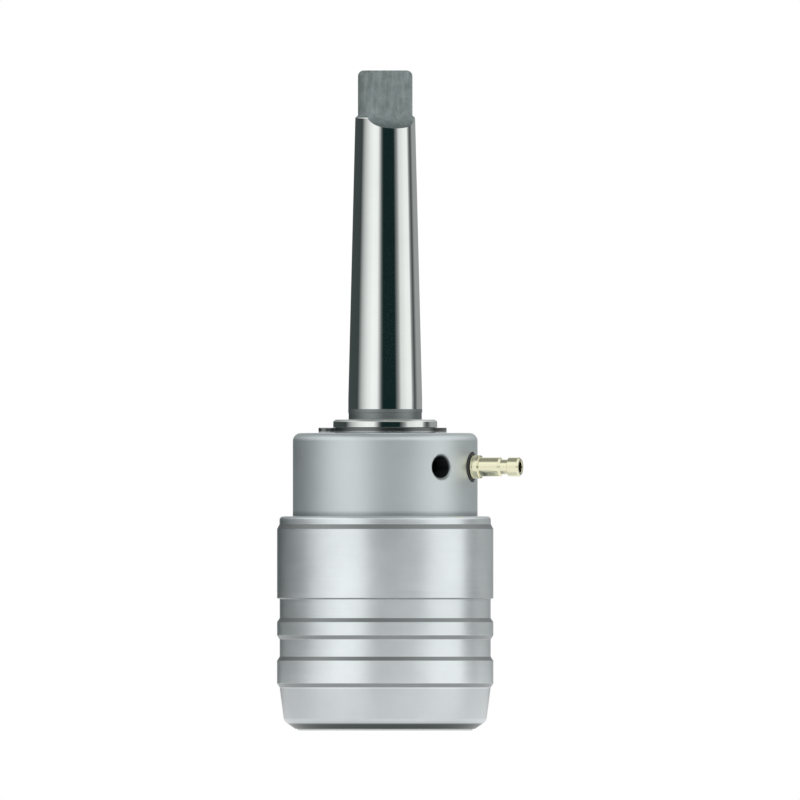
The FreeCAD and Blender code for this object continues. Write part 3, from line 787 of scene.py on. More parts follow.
class Nodes:
    """A material's node tree, with a short way to add and join nodes."""

    def __init__(self, name):
        self.material = bpy.data.materials.new(name)
        self.material.use_nodes = True
        self.tree = self.material.node_tree
        self.shader = self.tree.nodes["Principled BSDF"]

    def add(self, kind, values=None, **settings):
        node = self.tree.nodes.new(kind)
        for setting, value in settings.items():
            setattr(node, setting, value)
        for socket, value in (values or {}).items():
            self.join(value, node.inputs[socket])
        return node

    def join(self, value, socket):
        if isinstance(value, bpy.types.NodeSocket):
            self.tree.links.new(value, socket)
        else:
            socket.default_value = value

    def feed(self, name, value):
        """Links or sets one of the shader's own sockets."""
        self.join(value, self.shader.inputs[name])

    def math(self, operation, first, second=0.0, third=0.0):
        values = {0: first, 1: second, 2: third}
        return self.add("ShaderNodeMath", values, operation=operation).outputs[0]

    def noise(self, vector, scale, detail=2.0, roughness=0.5):
        values = {"Vector": vector, "Scale": scale, "Detail": detail, "Roughness": roughness}
        return self.add("ShaderNodeTexNoise", values).outputs["Fac"]

    def remap(self, value, low, high, from_low=0.0, from_high=1.0):
        values = {"From Min": from_low, "From Max": from_high, "To Min": low, "To Max": high}
        return self.add("ShaderNodeMapRange", {"Value": value, **values}).outputs["Result"]

    def blend(self, share, first, second, **settings):
        """Goes from one colour to another."""
        mix = self.add("ShaderNodeMix", data_type="RGBA", **settings)
        for value, socket in ((share, 0), (first, 6), (second, 7)):
            self.join(value, mix.inputs[socket])
        return mix.outputs[2]

    def grey(self, shade):
        return self.add("ShaderNodeCombineColor", {0: shade, 1: shade, 2: shade}).outputs[0]

    def place(self):
        return self.add("ShaderNodeTexCoord").outputs["Object"]

    def parts(self, vector=None):
        """The X, Y and Z of a vector, or else of the place on the object."""
        vector = self.place() if vector is None else vector
        return self.add("ShaderNodeSeparateXYZ", {0: vector}).outputs

    def flat(self, parts):
        return self.add("ShaderNodeCombineXYZ", {"X": parts["X"], "Y": parts["Y"]}).outputs[0]

    def length(self, vector):
        return self.add("ShaderNodeVectorMath", {0: vector}, operation="LENGTH").outputs["Value"]

    def lathe_place(self, lines_per_mm):
        """A place that changes fast up and out, and slowly round the axis, as a tool's marks do."""
        parts = self.parts()
        flat = self.flat(parts)
        direction = self.add("ShaderNodeVectorMath", {0: flat}, operation="NORMALIZE").outputs["Vector"]
        round_parts = self.parts(direction)
        along = self.math("MULTIPLY_ADD", self.length(flat), FACE_MARK_SHARE, parts["Z"])
        values = {
            "X": self.math("MULTIPLY", along, lines_per_mm / MM),
            "Y": round_parts["X"],
            "Z": round_parts["Y"],
        }
        return self.add("ShaderNodeCombineXYZ", values).outputs[0]

    def repaint(self, share, colour):
        """Mixes another colour over the one the shader has."""
        painted = self.shader.inputs["Base Color"].links[0].from_socket
        self.feed("Base Color", self.blend(share, painted, (*colour, 1.0)))

    def bump(self, height, distance, strength):
        values = {"Height": height, "Distance": distance, "Strength": strength}
        self.feed("Normal", self.add("ShaderNodeBump", values).outputs["Normal"])

    def seen(self):
        """1 where the camera sees the surface, and 1 where metal or glass does."""
        rays = self.add("ShaderNodeLightPath").outputs
        mirrored = self.math("MAXIMUM", rays["Is Glossy Ray"], rays["Is Transmission Ray"])
        return rays["Is Camera Ray"], mirrored


def metal(
    name,
    colour,
    roughness,
    lines_per_mm,
    line_depth,
    swing,
    grain=0.0,
    grain_size=0.3,
    stain=0.06,
    turned=0.0,
):
    """Turned or blasted metal: tool marks round the axis, grain, and slight handling marks.

    line_depth, grain and grain_size are in millimetres. swing is how far the roughness goes up and
    down, and stain is how dark the handling marks are. turned is how much farther a highlight
    spreads across the tool marks than along them.
    """
    nodes = Nodes(name)
    lines = nodes.noise(nodes.lathe_place(lines_per_mm), scale=1.0, detail=3.0, roughness=0.65)
    patches = nodes.noise(nodes.place(), scale=55.0, detail=4.0, roughness=0.6)
    speckle = nodes.noise(nodes.place(), scale=1.0 / (grain_size * MM), detail=3.0, roughness=0.7)
    shade = nodes.remap(patches, 1.0 - stain, 1.0 + 0.3 * stain, 0.25, 0.75)
    shade = nodes.math("MULTIPLY", shade, nodes.remap(lines, 1.0 - 0.5 * stain, 1.0))
    shaded = nodes.blend(1.0, (*colour, 1.0), nodes.grey(shade), blend_type="MULTIPLY")
    nodes.feed("Base Color", shaded)
    in_patches = nodes.remap(patches, -0.5 * swing, 0.5 * swing)
    rough = nodes.math("ADD", nodes.remap(lines, -swing, swing), in_patches)
    nodes.feed("Roughness", nodes.math("ADD", rough, roughness))
    nodes.feed("Metallic", 1.0)
    marks = nodes.math("MULTIPLY", lines, line_depth)
    nodes.bump(nodes.math("MULTIPLY_ADD", speckle, grain, marks), MM, 1.0)
    if turned:
        round_axis = nodes.add("ShaderNodeTangent", direction_type="RADIAL", axis="Z")
        nodes.feed("Tangent", round_axis.outputs["Tangent"])
        nodes.feed("Anisotropic", turned)
        nodes.feed("Anisotropic Rotation", 0.25)
    return nodes


def ground_steel():
    """The shank's and the journal's bright ground finish."""
    return metal(
        "ground_steel",
        finish().ground_colour,
        finish().ground_roughness,
        lines_per_mm=9.0,
        line_depth=0.0005,
        swing=0.02,
        turned=0.3,
    ).material


def relief_steel():
    """The undercut below the shank, as it came off the lathe."""
    colour = (0.28, 0.31, 0.31)
    return metal("relief_steel", colour, 0.42, lines_per_mm=5.0, line_depth=0.006, swing=0.06).material


def tang_steel():
    """The tang: blasted after hardening, with the milling left faintly visible."""
    nodes = metal(
        "tang_steel",
        finish().tang_colour,
        0.62,
        lines_per_mm=1.2,
        line_depth=0.004,
        swing=0.05,
        grain=0.02,
        grain_size=0.35,
        stain=0.12,
    )
    place = nodes.place()
    values = {0: place, 1: TANG_STREAKS_PER_METRE}
    drawn_out = nodes.add("ShaderNodeVectorMath", values, operation="MULTIPLY").outputs["Vector"]
    mottle = nodes.noise(place, scale=420.0, detail=5.0, roughness=0.65)
    streaks = nodes.noise(drawn_out, scale=1.0, detail=3.0, roughness=0.6)
    marks = nodes.math("MULTIPLY", mottle, 0.6)
    marks = nodes.math("ADD", marks, nodes.math("MULTIPLY", streaks, 0.4))
    nodes.repaint(nodes.remap(marks, 0.0, 0.9, 0.38, 0.62), TANG_TARNISH)
    return nodes.material


def satin_steel():
    """The sleeve's fine turned finish, with painted shade on the nose and fainter painted shade on the
    taper above it.
    """
    nodes = metal(
        "satin_steel",
        finish().sleeve_colour,
        finish().sleeve_roughness,
        lines_per_mm=4.0,
        line_depth=0.003,
        swing=0.07,
        stain=0.12,
        turned=SLEEVE_BRUSHING,
    )
    # Painted shade: the nose and the taper above it are darker towards the bottom
    height = nodes.parts()["Z"]
    nose_top = (SLEEVE_BOTTOM + NOSE_SHADE_HEIGHT) * MM
    taper_top = (SLEEVE_BOTTOM + SLEEVE_BANDS[0][1] + SLEEVE_BANDS[1][1]) * MM
    painted_shades = ((1.0, nose_top, NOSE_SHADE_FADE), (TAPER_SHADE_SHARE, taper_top, TAPER_SHADE_FADE))
    for share, top, fade in painted_shades:
        nodes.repaint(nodes.remap(height, share, 0.0, top - fade * MM, top), NOSE_PAINTED_SHADE)
    return nodes.material


def shaded_step_steel():
    """The steps between the sleeve's bands: painted shade makes them darker, and they are a little
    rougher.
    """
    return metal(
        "shaded_step_steel",
        [STEP_SHADE * value for value in finish().sleeve_colour],
        finish().sleeve_roughness + STEP_ROUGHER,
        lines_per_mm=6.0,
        line_depth=0.003,
        swing=0.04,
        turned=SLEEVE_BRUSHING,
    ).material


def bore_steel():
    """Turned steel inside the socket and on faces that show little."""
    colour = (0.70, 0.72, 0.72)
    return metal("bore_steel", colour, 0.32, lines_per_mm=4.0, line_depth=0.004, swing=0.05).material


def blasted_aluminium():
    """The coolant ring's fine blasted finish, with painted shade deep in its ports and just above the
    sleeve's rim.
    """
    nodes = metal(
        "blasted_aluminium",
        finish().ring_colour,
        finish().ring_roughness,
        lines_per_mm=4.0,
        line_depth=0.002,
        swing=0.03,
        grain=0.004,
        grain_size=0.25,
    )
    parts = nodes.parts()
    distance = nodes.length(nodes.flat(parts))
    # Painted shade deep in the ports and round the nipple's spot face
    surface = RING_R * MM
    depth = nodes.remap(distance, 0.0, 1.0, surface, surface - PORT_SHADE_DEPTH * MM)
    off_height = nodes.math("ABSOLUTE", nodes.math("SUBTRACT", parts["Z"], PORT_HEIGHT * MM))
    beside = nodes.math("LESS_THAN", off_height, (SPOT_FACE_R + PORT_SHADE_MARGIN) * MM)
    nodes.repaint(nodes.math("MULTIPLY", depth, beside), PORT_SHADE)
    # Painted shade on the ring just above the sleeve's rim
    gap_shade_from = (SLEEVE_TOP + GAP_SHADE_HEIGHT) * MM
    gap_shade = nodes.remap(parts["Z"], GAP_SHADE_SHARE, 0.0, gap_shade_from - GAP_SHADE_FADE * MM, gap_shade_from)
    nodes.repaint(gap_shade, GAP_PAINTED_SHADE)
    return nodes.material


def pale_brass():
    """The nipple's turned brass with a thin bright plating."""
    colour = finish().nipple_colour
    return metal("pale_brass", colour, 0.16, lines_per_mm=6.0, line_depth=0.001, swing=0.03).material


def blackened_steel():
    """Phosphated and oiled clips, paler where the punch tore their edge."""
    nodes = metal(
        "blackened_steel",
        finish().clip_colour,
        0.24,
        lines_per_mm=3.0,
        line_depth=0.002,
        swing=0.08,
        grain=0.004,
        stain=0.2,
    )
    height = nodes.parts(nodes.add("ShaderNodeTexCoord").outputs["Generated"])["Z"]
    nodes.repaint(nodes.math("LESS_THAN", height, TORN_EDGE_SHARE), TORN_EDGE_COLOUR)
    return nodes.material


def hardened_steel():
    """Pins, dowels and the cam ring: hardened, ground and faintly brown."""
    colour = (0.60, 0.58, 0.55)
    marks = {"lines_per_mm": 8.0, "line_depth": 0.001, "swing": 0.05, "stain": 0.12}
    return metal("hardened_steel", colour, 0.24, **marks).material


def spring_wire():
    """Drawn wire."""
    colour = (0.42, 0.42, 0.43)
    marks = {"lines_per_mm": 3.0, "line_depth": 0.001, "swing": 0.06, "stain": 0.15}
    return metal("spring_wire", colour, 0.30, **marks).material


def washer_steel():
    """Punched washers and the plunger."""
    colour = (0.68, 0.69, 0.69)
    return metal("washer_steel", colour, 0.30, lines_per_mm=3.0, line_depth=0.002, swing=0.06).material


def bronze():
    """Oiled sintered bronze."""
    colour = (0.62, 0.44, 0.25)
    marks = {"lines_per_mm": 4.0, "line_depth": 0.001, "swing": 0.05, "stain": 0.2}
    return metal("bronze", colour, 0.42, grain=0.006, grain_size=0.2, **marks).material


def moulded(name, scale, shades, roughness):
    """A dark moulded material with a cloudy surface."""
    nodes = Nodes(name)
    cloud = nodes.noise(nodes.place(), scale, detail=3.0, roughness=0.6)
    nodes.feed("Base Color", nodes.grey(nodes.remap(cloud, *shades)))
    nodes.feed("Roughness", nodes.remap(cloud, *roughness))
    return nodes, cloud


def nitrile_rubber():
    """Seals, with a fine bloom."""
    nodes, bloom = moulded("nitrile_rubber", 900.0, shades=(0.012, 0.03), roughness=(0.45, 0.65))
    nodes.bump(bloom, 0.02 * MM, 0.6)
    return nodes.material


def dark_nylon():
    """The nipple's sealing washer."""
    nodes, _ = moulded("dark_nylon", 700.0, shades=(0.02, 0.04), roughness=(0.35, 0.5))
    return nodes.material


# Shapes of the single pieces

# How near a face of the arbor body may be to a zone of its finish, in millimetres
ZONE_MARGIN = 1.0
CONE_SLACK = 0.05
SHOULDER_SLACK = 0.01
CHAMBER_MARGIN = 0.5
GROOVE_SLACK = 0.1


def shank_r(height):
    return GAUGE_R - TAPER_PER_MM / 2 * (height - GAUGE_HEIGHT)


def groove(side_r, floor_r, start, end, *rounding):
    """The four corners of a square groove, where an outline goes in and comes out again."""
    corners = ((side_r, start), (floor_r, start), (floor_r, end), (side_r, end))
    return [(*corner, *rounding) for corner in corners]


def arbor_outline():
    """From the drill's tip in the spring chamber, down the bore and up the outside to the tang."""
    land_r = shank_r(LAND_TOP)
    relief_r = land_r - RELIEF_DEPTH
    tang_r = shank_r(TANG_SHOULDER) - TANG_STEP
    shoulder_bottom = TANG_SHOULDER - TANG_SHOULDER_CHAMFER
    drill_tip = CHAMBER_TOP + CHAMBER_R / math.tan(math.radians(DRILL_ANGLE / 2))
    centre_depth = CENTRE_HOLE_R / math.tan(math.radians(CENTRE_HOLE_ANGLE / 2))
    burr_half = PIN_NOSE_R + BURR_RELIEF_MARGIN
    burr_ends = (PIN_HEIGHT + burr_half, PIN_HEIGHT - burr_half)
    clip_ends = (PLUNGER_CLIP_TOP + CIRCLIP_SLACK, PLUNGER_CLIP_BOTTOM - CIRCLIP_SLACK)
    snap_ends = (SNAP_BOTTOM - PRESS_GAP, SNAP_TOP + PRESS_GAP)
    wiper_ends = (WIPER_MIDDLE - WIPER_GROOVE_HALF, WIPER_MIDDLE + WIPER_GROOVE_HALF)
    circlip_ends = (CIRCLIP_BOTTOM - CIRCLIP_SLACK, CIRCLIP_TOP + CIRCLIP_SLACK)
    return [
        (0.0, drill_tip),
        (CHAMBER_R, CHAMBER_TOP),
        (CHAMBER_R, CHAMBER_BOTTOM),
        (RECESS_R, CHAMBER_BOTTOM),
        *groove(RECESS_R, RECESS_GROOVE_R, *clip_ends),
        (RECESS_R, SOCKET_TOP),
        (SOCKET_R, SOCKET_TOP),
        *groove(SOCKET_R, SOCKET_R + BURR_RELIEF, *burr_ends),
        (SOCKET_R, BODY_BOTTOM + SOCKET_CHAMFER),
        (SOCKET_R + SOCKET_CHAMFER, BODY_BOTTOM),
        (NECK_R, BODY_BOTTOM),
        *groove(NECK_R, SNAP_GROOVE_R, *snap_ends),
        (NECK_R, NOSE_RING_TOP),
        (BODY_R, NOSE_RING_TOP),
        (BODY_R, FLANGE_BOTTOM),
        (FLANGE_R, FLANGE_BOTTOM),
        *groove(FLANGE_R, radii("sleeve_wiper")[0] - PRESS_GAP, *wiper_ends),
        (FLANGE_R, FLANGE_TOP),
        (JOURNAL_R, FLANGE_TOP),
        *groove(JOURNAL_R, CIRCLIP_GROOVE_R, *circlip_ends),
        (JOURNAL_R, JOURNAL_TOP - JOURNAL_CHAMFER),
        (JOURNAL_R - JOURNAL_CHAMFER, JOURNAL_TOP),
        (relief_r, JOURNAL_TOP),
        (relief_r, SHANK_BOTTOM),
        (land_r, SHANK_BOTTOM),
        (land_r, SHANK_BOTTOM + LAND_MATT_BAND),
        (land_r, LAND_TOP),
        (shank_r(shoulder_bottom), shoulder_bottom, TANG_SHOULDER_ROUND),
        (tang_r, TANG_SHOULDER, TANG_ROOT_ROUND),
        (tang_r, TANG_END, TANG_END_ROUND),
        (CENTRE_HOLE_R, TANG_END),
        (0.0, TANG_END - centre_depth),
    ]


def tang_cutter(side):
    """What the milling cutter takes off one side of the tang, with its round runout."""
    reach = TANG_CUTTER_REACH
    top = TANG_END + 2 * CUT_BEYOND
    outline = [(TANG_HALF_THICKNESS, top), (TANG_HALF_THICKNESS, TANG_FLAT_BOTTOM)]
    for number in range(1, TANG_RUNOUT_STEPS + 1):
        angle = math.pi / 2 * number / TANG_RUNOUT_STEPS
        across = TANG_RUNOUT_R * (1.0 - math.cos(angle))
        down = TANG_RUNOUT_R * math.sin(angle)
        outline.append((TANG_HALF_THICKNESS + across, TANG_FLAT_BOTTOM - down))
    outline += [(reach, TANG_FLAT_BOTTOM - TANG_RUNOUT_R), (reach, top)]
    vertices = [(x * MM, y * MM, z * MM) for y in (-reach, reach) for x, z in outline]
    count = len(outline)
    faces = [tuple(range(count)), tuple(reversed(range(count, 2 * count)))]
    for number in range(count):
        beside = (number + 1) % count
        faces.append((number, number + count, beside + count, beside))
    mesh = plain_mesh("tang_cutter", vertices, faces)
    mesh.transform(Matrix.Rotation(math.radians(TANG_DIRECTION) + side * math.pi, 4, "Z"))
    return new_piece("tang_cutter", mesh)


def arbor_cutters():
    """The tang's flats, the pin windows, the dowel holes and the coolant cross holes."""
    cutters = [tang_cutter(0), tang_cutter(1)]
    nose_window_r = PIN_NOSE_R + RUNNING_GAP
    head_window_r = PIN_HEAD_R + RUNNING_GAP
    window = [
        (0.0, PIN_WINDOW_START),
        (nose_window_r, PIN_WINDOW_START),
        (nose_window_r, PIN_HEAD_SEAT - SEAT_GAP),
        (head_window_r, PIN_HEAD_SEAT - SEAT_GAP),
        (head_window_r, BODY_R + CUT_BEYOND),
        (0.0, BODY_R + CUT_BEYOND),
    ]
    dowel_hole = rod_outline(DOWEL_HOLE_R, DOWEL_HOLE_FLOOR, BODY_R + CUT_BEYOND)
    cross_hole = rod_outline(CROSS_HOLE_R, CROSS_HOLE_START, JOURNAL_R + CUT_BEYOND)
    gallery_height = PORT_HEIGHT - CROSS_HOLE_BELOW_PORT
    holes = (
        ("window", window, PIN_DIRECTIONS.values(), PIN_HEIGHT),
        ("dowel_hole", dowel_hole, DOWEL_DIRECTIONS, DOWEL_HEIGHT),
        ("cross_hole", cross_hole, CROSS_HOLE_DIRECTIONS, gallery_height),
    )
    for name, outline, directions, height in holes:
        cutters += [laid_cutter(name, outline, direction, height) for direction in directions]
    return cutters


def finish_arbor_zones(piece):
    """Gives each zone of the arbor body its finish: 0 ground, 1 relief, 2 tang, 3 bore."""
    ground, relief, tang, bore = range(4)
    turned_tang_r = shank_r(TANG_SHOULDER) - TANG_STEP + ZONE_MARGIN
    runout_bottom = TANG_FLAT_BOTTOM - TANG_RUNOUT_R - ZONE_MARGIN
    for face in piece.data.polygons:
        height = face.center.z / MM
        distance = math.hypot(face.center.x, face.center.y) / MM
        on_cone = distance > shank_r(height) - CONE_SLACK
        if height > TANG_SHOULDER - SHOULDER_SLACK and distance < turned_tang_r:
            zone = tang
        elif height > runout_bottom and not on_cone:
            zone = tang
        elif height > SHANK_BOTTOM + LAND_MATT_BAND and on_cone:
            zone = ground
        elif height > JOURNAL_TOP and distance > CHAMBER_R + CHAMBER_MARGIN:
            zone = relief
        elif height > FLANGE_TOP and distance > CIRCLIP_GROOVE_R - GROOVE_SLACK:
            zone = ground
        else:
            zone = bore
        face.material_index = zone


def sleeve_outline():
    """The sleeve: bore down on the inside, then the bands up the outside."""
    outline = [(SLEEVE_LIP_R, SLEEVE_BOTTOM), (SLEEVE_LIP_R + SLEEVE_RIM, SLEEVE_BOTTOM)]
    height = SLEEVE_BOTTOM
    for name, rise, inset in SLEEVE_BANDS:
        height += rise
        rounding = (NOSE_ROUND,) if name == "nose chamfer" else ()
        outline.append((GRIP_R - inset, height, *rounding))
    outline += [
        (GRIP_R, SLEEVE_TOP - TOP_BAND_HEIGHT - TOP_BAND_FLANK),
        (GRIP_R - TOP_BAND_INSET, SLEEVE_TOP - TOP_BAND_HEIGHT),
        (GRIP_R - TOP_BAND_INSET, SLEEVE_TOP, TOP_BAND_ROUND),
        (SLEEVE_BORE_R + SLEEVE_MOUTH_CHAMFER, SLEEVE_TOP),
        (SLEEVE_BORE_R, SLEEVE_TOP - SLEEVE_MOUTH_CHAMFER),
        (SLEEVE_BORE_R, CAM_BOTTOM),
        (SLEEVE_LIP_R, CAM_BOTTOM),
    ]
    return outline


def finish_sleeve_zones(piece):
    """Gives the steps between the sleeve's bands their own finish, with painted shade: 0 satin, 1 step.
    """
    for face in piece.data.polygons:
        height = face.center.z / MM
        distance = math.hypot(face.center.x, face.center.y) / MM
        between_bands = SLEEVE_BOTTOM + STEPS_ABOVE_NOSE < height < SLEEVE_TOP - TOP_BAND_HEIGHT
        outside = distance > GRIP_R - STEP_DEPTH
        sloping = abs(face.normal.z) > STEP_SLOPE
        face.material_index = 1 if sloping and between_bands and outside else 0


def cam_outline():
    """The cam ring, with the cone that presses the pins in."""
    outer_r = SLEEVE_BORE_R - PRESS_GAP
    cone_top_r = CAM_GUIDE_R + CAM_RELIEF
    cone_bottom_r = cone_top_r + (CONE_TOP - CONE_BOTTOM) * CAM_SLOPE
    return [
        (cone_bottom_r, CAM_BOTTOM),
        (outer_r - CAM_CHAMFER, CAM_BOTTOM),
        (outer_r, CAM_BOTTOM + CAM_CHAMFER),
        (outer_r, CAM_TOP),
        (CAM_GUIDE_R, CAM_TOP),
        (CAM_GUIDE_R, CONE_TOP),
        (cone_top_r, CONE_TOP),
        (cone_bottom_r, CONE_BOTTOM),
    ]


def keyway_cutter(direction):
    """A square slot for a dowel, from the axis outwards."""
    half = KEYWAY_WIDTH / 2
    ends = (KEYWAY_BOTTOM, CAM_TOP + CUT_BEYOND)
    corners = [(x, y) for x in (KEYWAY_START, KEYWAY_REACH) for y in (-half, half)]
    vertices = [(x * MM, y * MM, z * MM) for z in ends for x, y in corners]
    faces = [(0, 1, 3, 2), (4, 6, 7, 5), (0, 4, 5, 1), (2, 3, 7, 6), (0, 2, 6, 4), (1, 5, 7, 3)]
    mesh = plain_mesh("keyway_cutter", vertices, faces)
    mesh.transform(Matrix.Rotation(math.radians(direction), 4, "Z"))
    return new_piece("keyway_cutter", mesh)


def coolant_ring_outline():
    """The coolant ring: outside up, over the top, and down its bore with the seats and grooves."""
    lower_seal = sum(heights("lower_shaft_seal")) / 2
    upper_seal = sum(heights("upper_shaft_seal")) / 2
    gallery = (lower_seal + upper_seal) / 2
    lower_seat_top = heights("lower_bush")[1] + BUSH_END_GAP
    upper_seat_bottom = heights("upper_bush")[0] - BUSH_END_GAP
    outline = [
        (BUSH_SEAT_R, RING_BOTTOM),
        (RING_R - RING_CHAMFER, RING_BOTTOM),
        (RING_R, RING_BOTTOM + RING_CHAMFER),
        (RING_R, RING_TOP, RING_TOP_ROUND),
        (WASHER_RECESS_R, RING_TOP),
        (WASHER_RECESS_R, WASHER_RECESS_FLOOR),
        (BUSH_SEAT_R, WASHER_RECESS_FLOOR),
        (BUSH_SEAT_R, upper_seat_bottom),
        (RING_BORE_R, upper_seat_bottom),
    ]
    grooves_going_down = (
        (upper_seal, SEAL_GROOVE_HALF, SEAL_GROOVE_R),
        (gallery, GALLERY_HALF, GALLERY_R),
        (lower_seal, SEAL_GROOVE_HALF, SEAL_GROOVE_R),
    )
    for middle, half, groove_r in grooves_going_down:
        outline += groove(RING_BORE_R, groove_r, middle + half, middle - half)
    outline += [(RING_BORE_R, lower_seat_top), (BUSH_SEAT_R, lower_seat_top)]
    return outline


def ring_cutters():
    """The arm's tapped hole with its countersink, and the nipple's port with its spot face."""
    beyond = RING_R + CUT_BEYOND
    arm_place = (ARM_DIRECTION, PORT_HEIGHT)
    arm_thread = threaded_rod("arm_thread", THREAD_CORE_R, RING_R - ARM_DEPTH, beyond, *arm_place)
    sink = [
        (0.0, RING_R - ARM_COUNTERSINK_R),
        (ARM_COUNTERSINK_R, RING_R),
        (ARM_COUNTERSINK_R + CUT_BEYOND, beyond),
        (0.0, beyond),
    ]
    arm_sink = laid_cutter("arm_sink", sink, *arm_place)
    thread_end = SPOT_FACE_AT - NIPPLE_THREAD_LENGTH - SEAT_GAP
    port = [
        (0.0, RING_BORE_R),
        (NIPPLE_PASSAGE_R, RING_BORE_R),
        (NIPPLE_PASSAGE_R, thread_end),
        (THREAD_CORE_R, thread_end),
        (THREAD_CORE_R, SPOT_FACE_AT),
        (SPOT_FACE_R, SPOT_FACE_AT),
        (SPOT_FACE_R, beyond),
        (0.0, beyond),
    ]
    nipple_port = laid_cutter("nipple_port", port, NIPPLE_DIRECTION, PORT_HEIGHT)
    return [arm_thread, arm_sink, nipple_port]


def nipple_outline():
    """The nipple from its thread to its tip, bored through."""
    thread_r = THREAD_CORE_R - PRESS_GAP
    thread_start = SPOT_FACE_AT - NIPPLE_THREAD_LENGTH
    collar_start = SPOT_FACE_AT + NIPPLE_WASHER_THICKNESS + SEAT_GAP
    groove_start = collar_start + COLLAR_GROOVE_AT
    groove_ends = (groove_start, groove_start + COLLAR_GROOVE_WIDTH)
    collar_end = collar_start + COLLAR_LENGTH
    stem_end = collar_end + STEM_LENGTH
    tip_start = stem_end + NIPPLE_NECK_LENGTH
    tip_end = tip_start + TIP_LENGTH
    return [
        (NIPPLE_BORE_R, thread_start),
        (thread_r, thread_start, NIPPLE_THREAD_ROUND),
        (thread_r, collar_start),
        (COLLAR_R, collar_start, COLLAR_ROUND),
        *groove(COLLAR_R, COLLAR_R - COLLAR_GROOVE_DEPTH, *groove_ends, COLLAR_GROOVE_ROUND),
        (COLLAR_R, collar_end, COLLAR_ROUND),
        (STEM_R, collar_end, STEM_ROUND),
        (STEM_R, stem_end - STEM_CHAMFER, STEM_ROUND),
        (NIPPLE_NECK_R, stem_end, STEM_ROUND),
        (NIPPLE_NECK_R, tip_start, NIPPLE_NECK_ROUND),
        (STEM_R, tip_start, TIP_BACK_ROUND),
        (STEM_R, tip_end - TIP_CHAMFER, TIP_ROUND),
        (STEM_R - TIP_CHAMFER, tip_end, TIP_ROUND),
        (NIPPLE_BORE_R, tip_end, NIPPLE_MOUTH_ROUND),
    ]


def pin_outline():
    """A locking pin from its flat nose to its dome, along its own axis."""
    top = radii("locking_pin_side")[1]
    dome_centre = top - PIN_DOME_R
    dome_start = dome_centre + math.sqrt(PIN_DOME_R**2 - PIN_HEAD_R**2)
    outline = [
        (0.0, PIN_NOSE_AT),
        (PIN_NOSE_R - PIN_NOSE_CHAMFER, PIN_NOSE_AT),
        (PIN_NOSE_R, PIN_NOSE_AT + PIN_NOSE_CHAMFER),
        (PIN_NOSE_R, PIN_HEAD_SEAT),
        (PIN_HEAD_R, PIN_HEAD_SEAT),
        (PIN_HEAD_R, dome_start, PIN_HEAD_ROUND),
    ]
    start_angle = math.asin(PIN_HEAD_R / PIN_DOME_R)
    for number in range(1, PIN_DOME_STEPS):
        angle = start_angle * (1.0 - number / PIN_DOME_STEPS)
        height = dome_centre + PIN_DOME_R * math.cos(angle)
        outline.append((PIN_DOME_R * math.sin(angle), height, PIN_DOME_ROUND))
    outline.append((0.0, top))
    return outline


def plunger_outline():
    """The coolant valve: cup and stem below, grooved head, and the spigot that centres its spring."""
    bottom, top = heights("pilot_plunger")
    head_top = top - PLUNGER_SPIGOT_LENGTH
    head_r = CHAMBER_R - PLUNGER_HEAD_GAP
    groove_r = radii("plunger_seal")[0] - PRESS_GAP
    groove_middle = sum(heights("plunger_seal")) / 2
    groove_ends = (groove_middle - PLUNGER_SEAL_HALF, groove_middle + PLUNGER_SEAL_HALF)
    return [
        (0.0, bottom + PLUNGER_CUP_DEPTH),
        (PLUNGER_CUP_R, bottom),
        (PLUNGER_STEM_R, bottom, PLUNGER_END_ROUND),
        (PLUNGER_STEM_R, CHAMBER_BOTTOM),
        (head_r, CHAMBER_BOTTOM, PLUNGER_END_ROUND),
        *groove(head_r, groove_r, *groove_ends),
        (head_r, head_top, PLUNGER_HEAD_ROUND),
        (PLUNGER_SPIGOT_R, head_top),
        (PLUNGER_SPIGOT_R, top, PLUNGER_SPIGOT_ROUND),
        (0.0, top),
    ]


def nose_ring_outline():
    """The ring that the arbor stands on, stepped inside over its split ring."""
    inner_r, outer_r = radii("nose_ring")
    snap_room_r = SNAP_GROOVE_R + SNAP_RING_WIDTH + SNAP_RING_ROOM
    snap_room_top = SNAP_TOP + SEAT_GAP
    return [
        (snap_room_r, NOSE_RING_BOTTOM),
        (outer_r - NOSE_RING_CHAMFER, NOSE_RING_BOTTOM),
        (outer_r, NOSE_RING_BOTTOM + NOSE_RING_CHAMFER),
        (outer_r, NOSE_RING_TOP),
        (inner_r, NOSE_RING_TOP),
        (inner_r, snap_room_top),
        (snap_room_r, snap_room_top),
    ]


# Operators, one for each piece or group of like pieces


class ArborOperator:
    """What the operators share: they make pieces once and can be undone."""

    bl_options = {"REGISTER", "UNDO"}


class ARBOR_OT_body(ArborOperator, bpy.types.Operator):
    """Turn the arbor body: socket, flange, journal, taper shank and tang"""

    bl_idname = "arbor.body"
    bl_label = "Arbor body"

    def execute(self, context):
        bored = {"closed": False, "exact_normals": False}
        piece = turned_piece("arbor_body_turned", arbor_outline(), turning().segments, **bored)
        carve(piece, arbor_cutters())
        finishes = [ground_steel(), relief_steel(), tang_steel(), bore_steel()]
        dress(piece, "arbor", ["arbor_body"], finishes)
        finish_arbor_zones(piece)
        level_normals(piece)
        return {"FINISHED"}


class ARBOR_OT_sleeve(ArborOperator, bpy.types.Operator):
    """Turn the grip sleeve and the cam ring inside it"""

    bl_idname = "arbor.sleeve"
    bl_label = "Grip sleeve"

    def execute(self, context):
        sleeve = turned_piece("grip_sleeve_turned", sleeve_outline(), turning().segments)
        dress(sleeve, "grip_sleeve", ["grip_sleeve"], [satin_steel(), shaded_step_steel()])
        finish_sleeve_zones(sleeve)
        segments = turning().segments
        cam = turned_piece("cam_ring_turned", cam_outline(), segments, exact_normals=False)
        carve(cam, [keyway_cutter(direction) for direction in DOWEL_DIRECTIONS])
        level_normals(cam)
        dress(cam, "grip_sleeve", ["cam_ring"], [hardened_steel()])
        return {"FINISHED"}


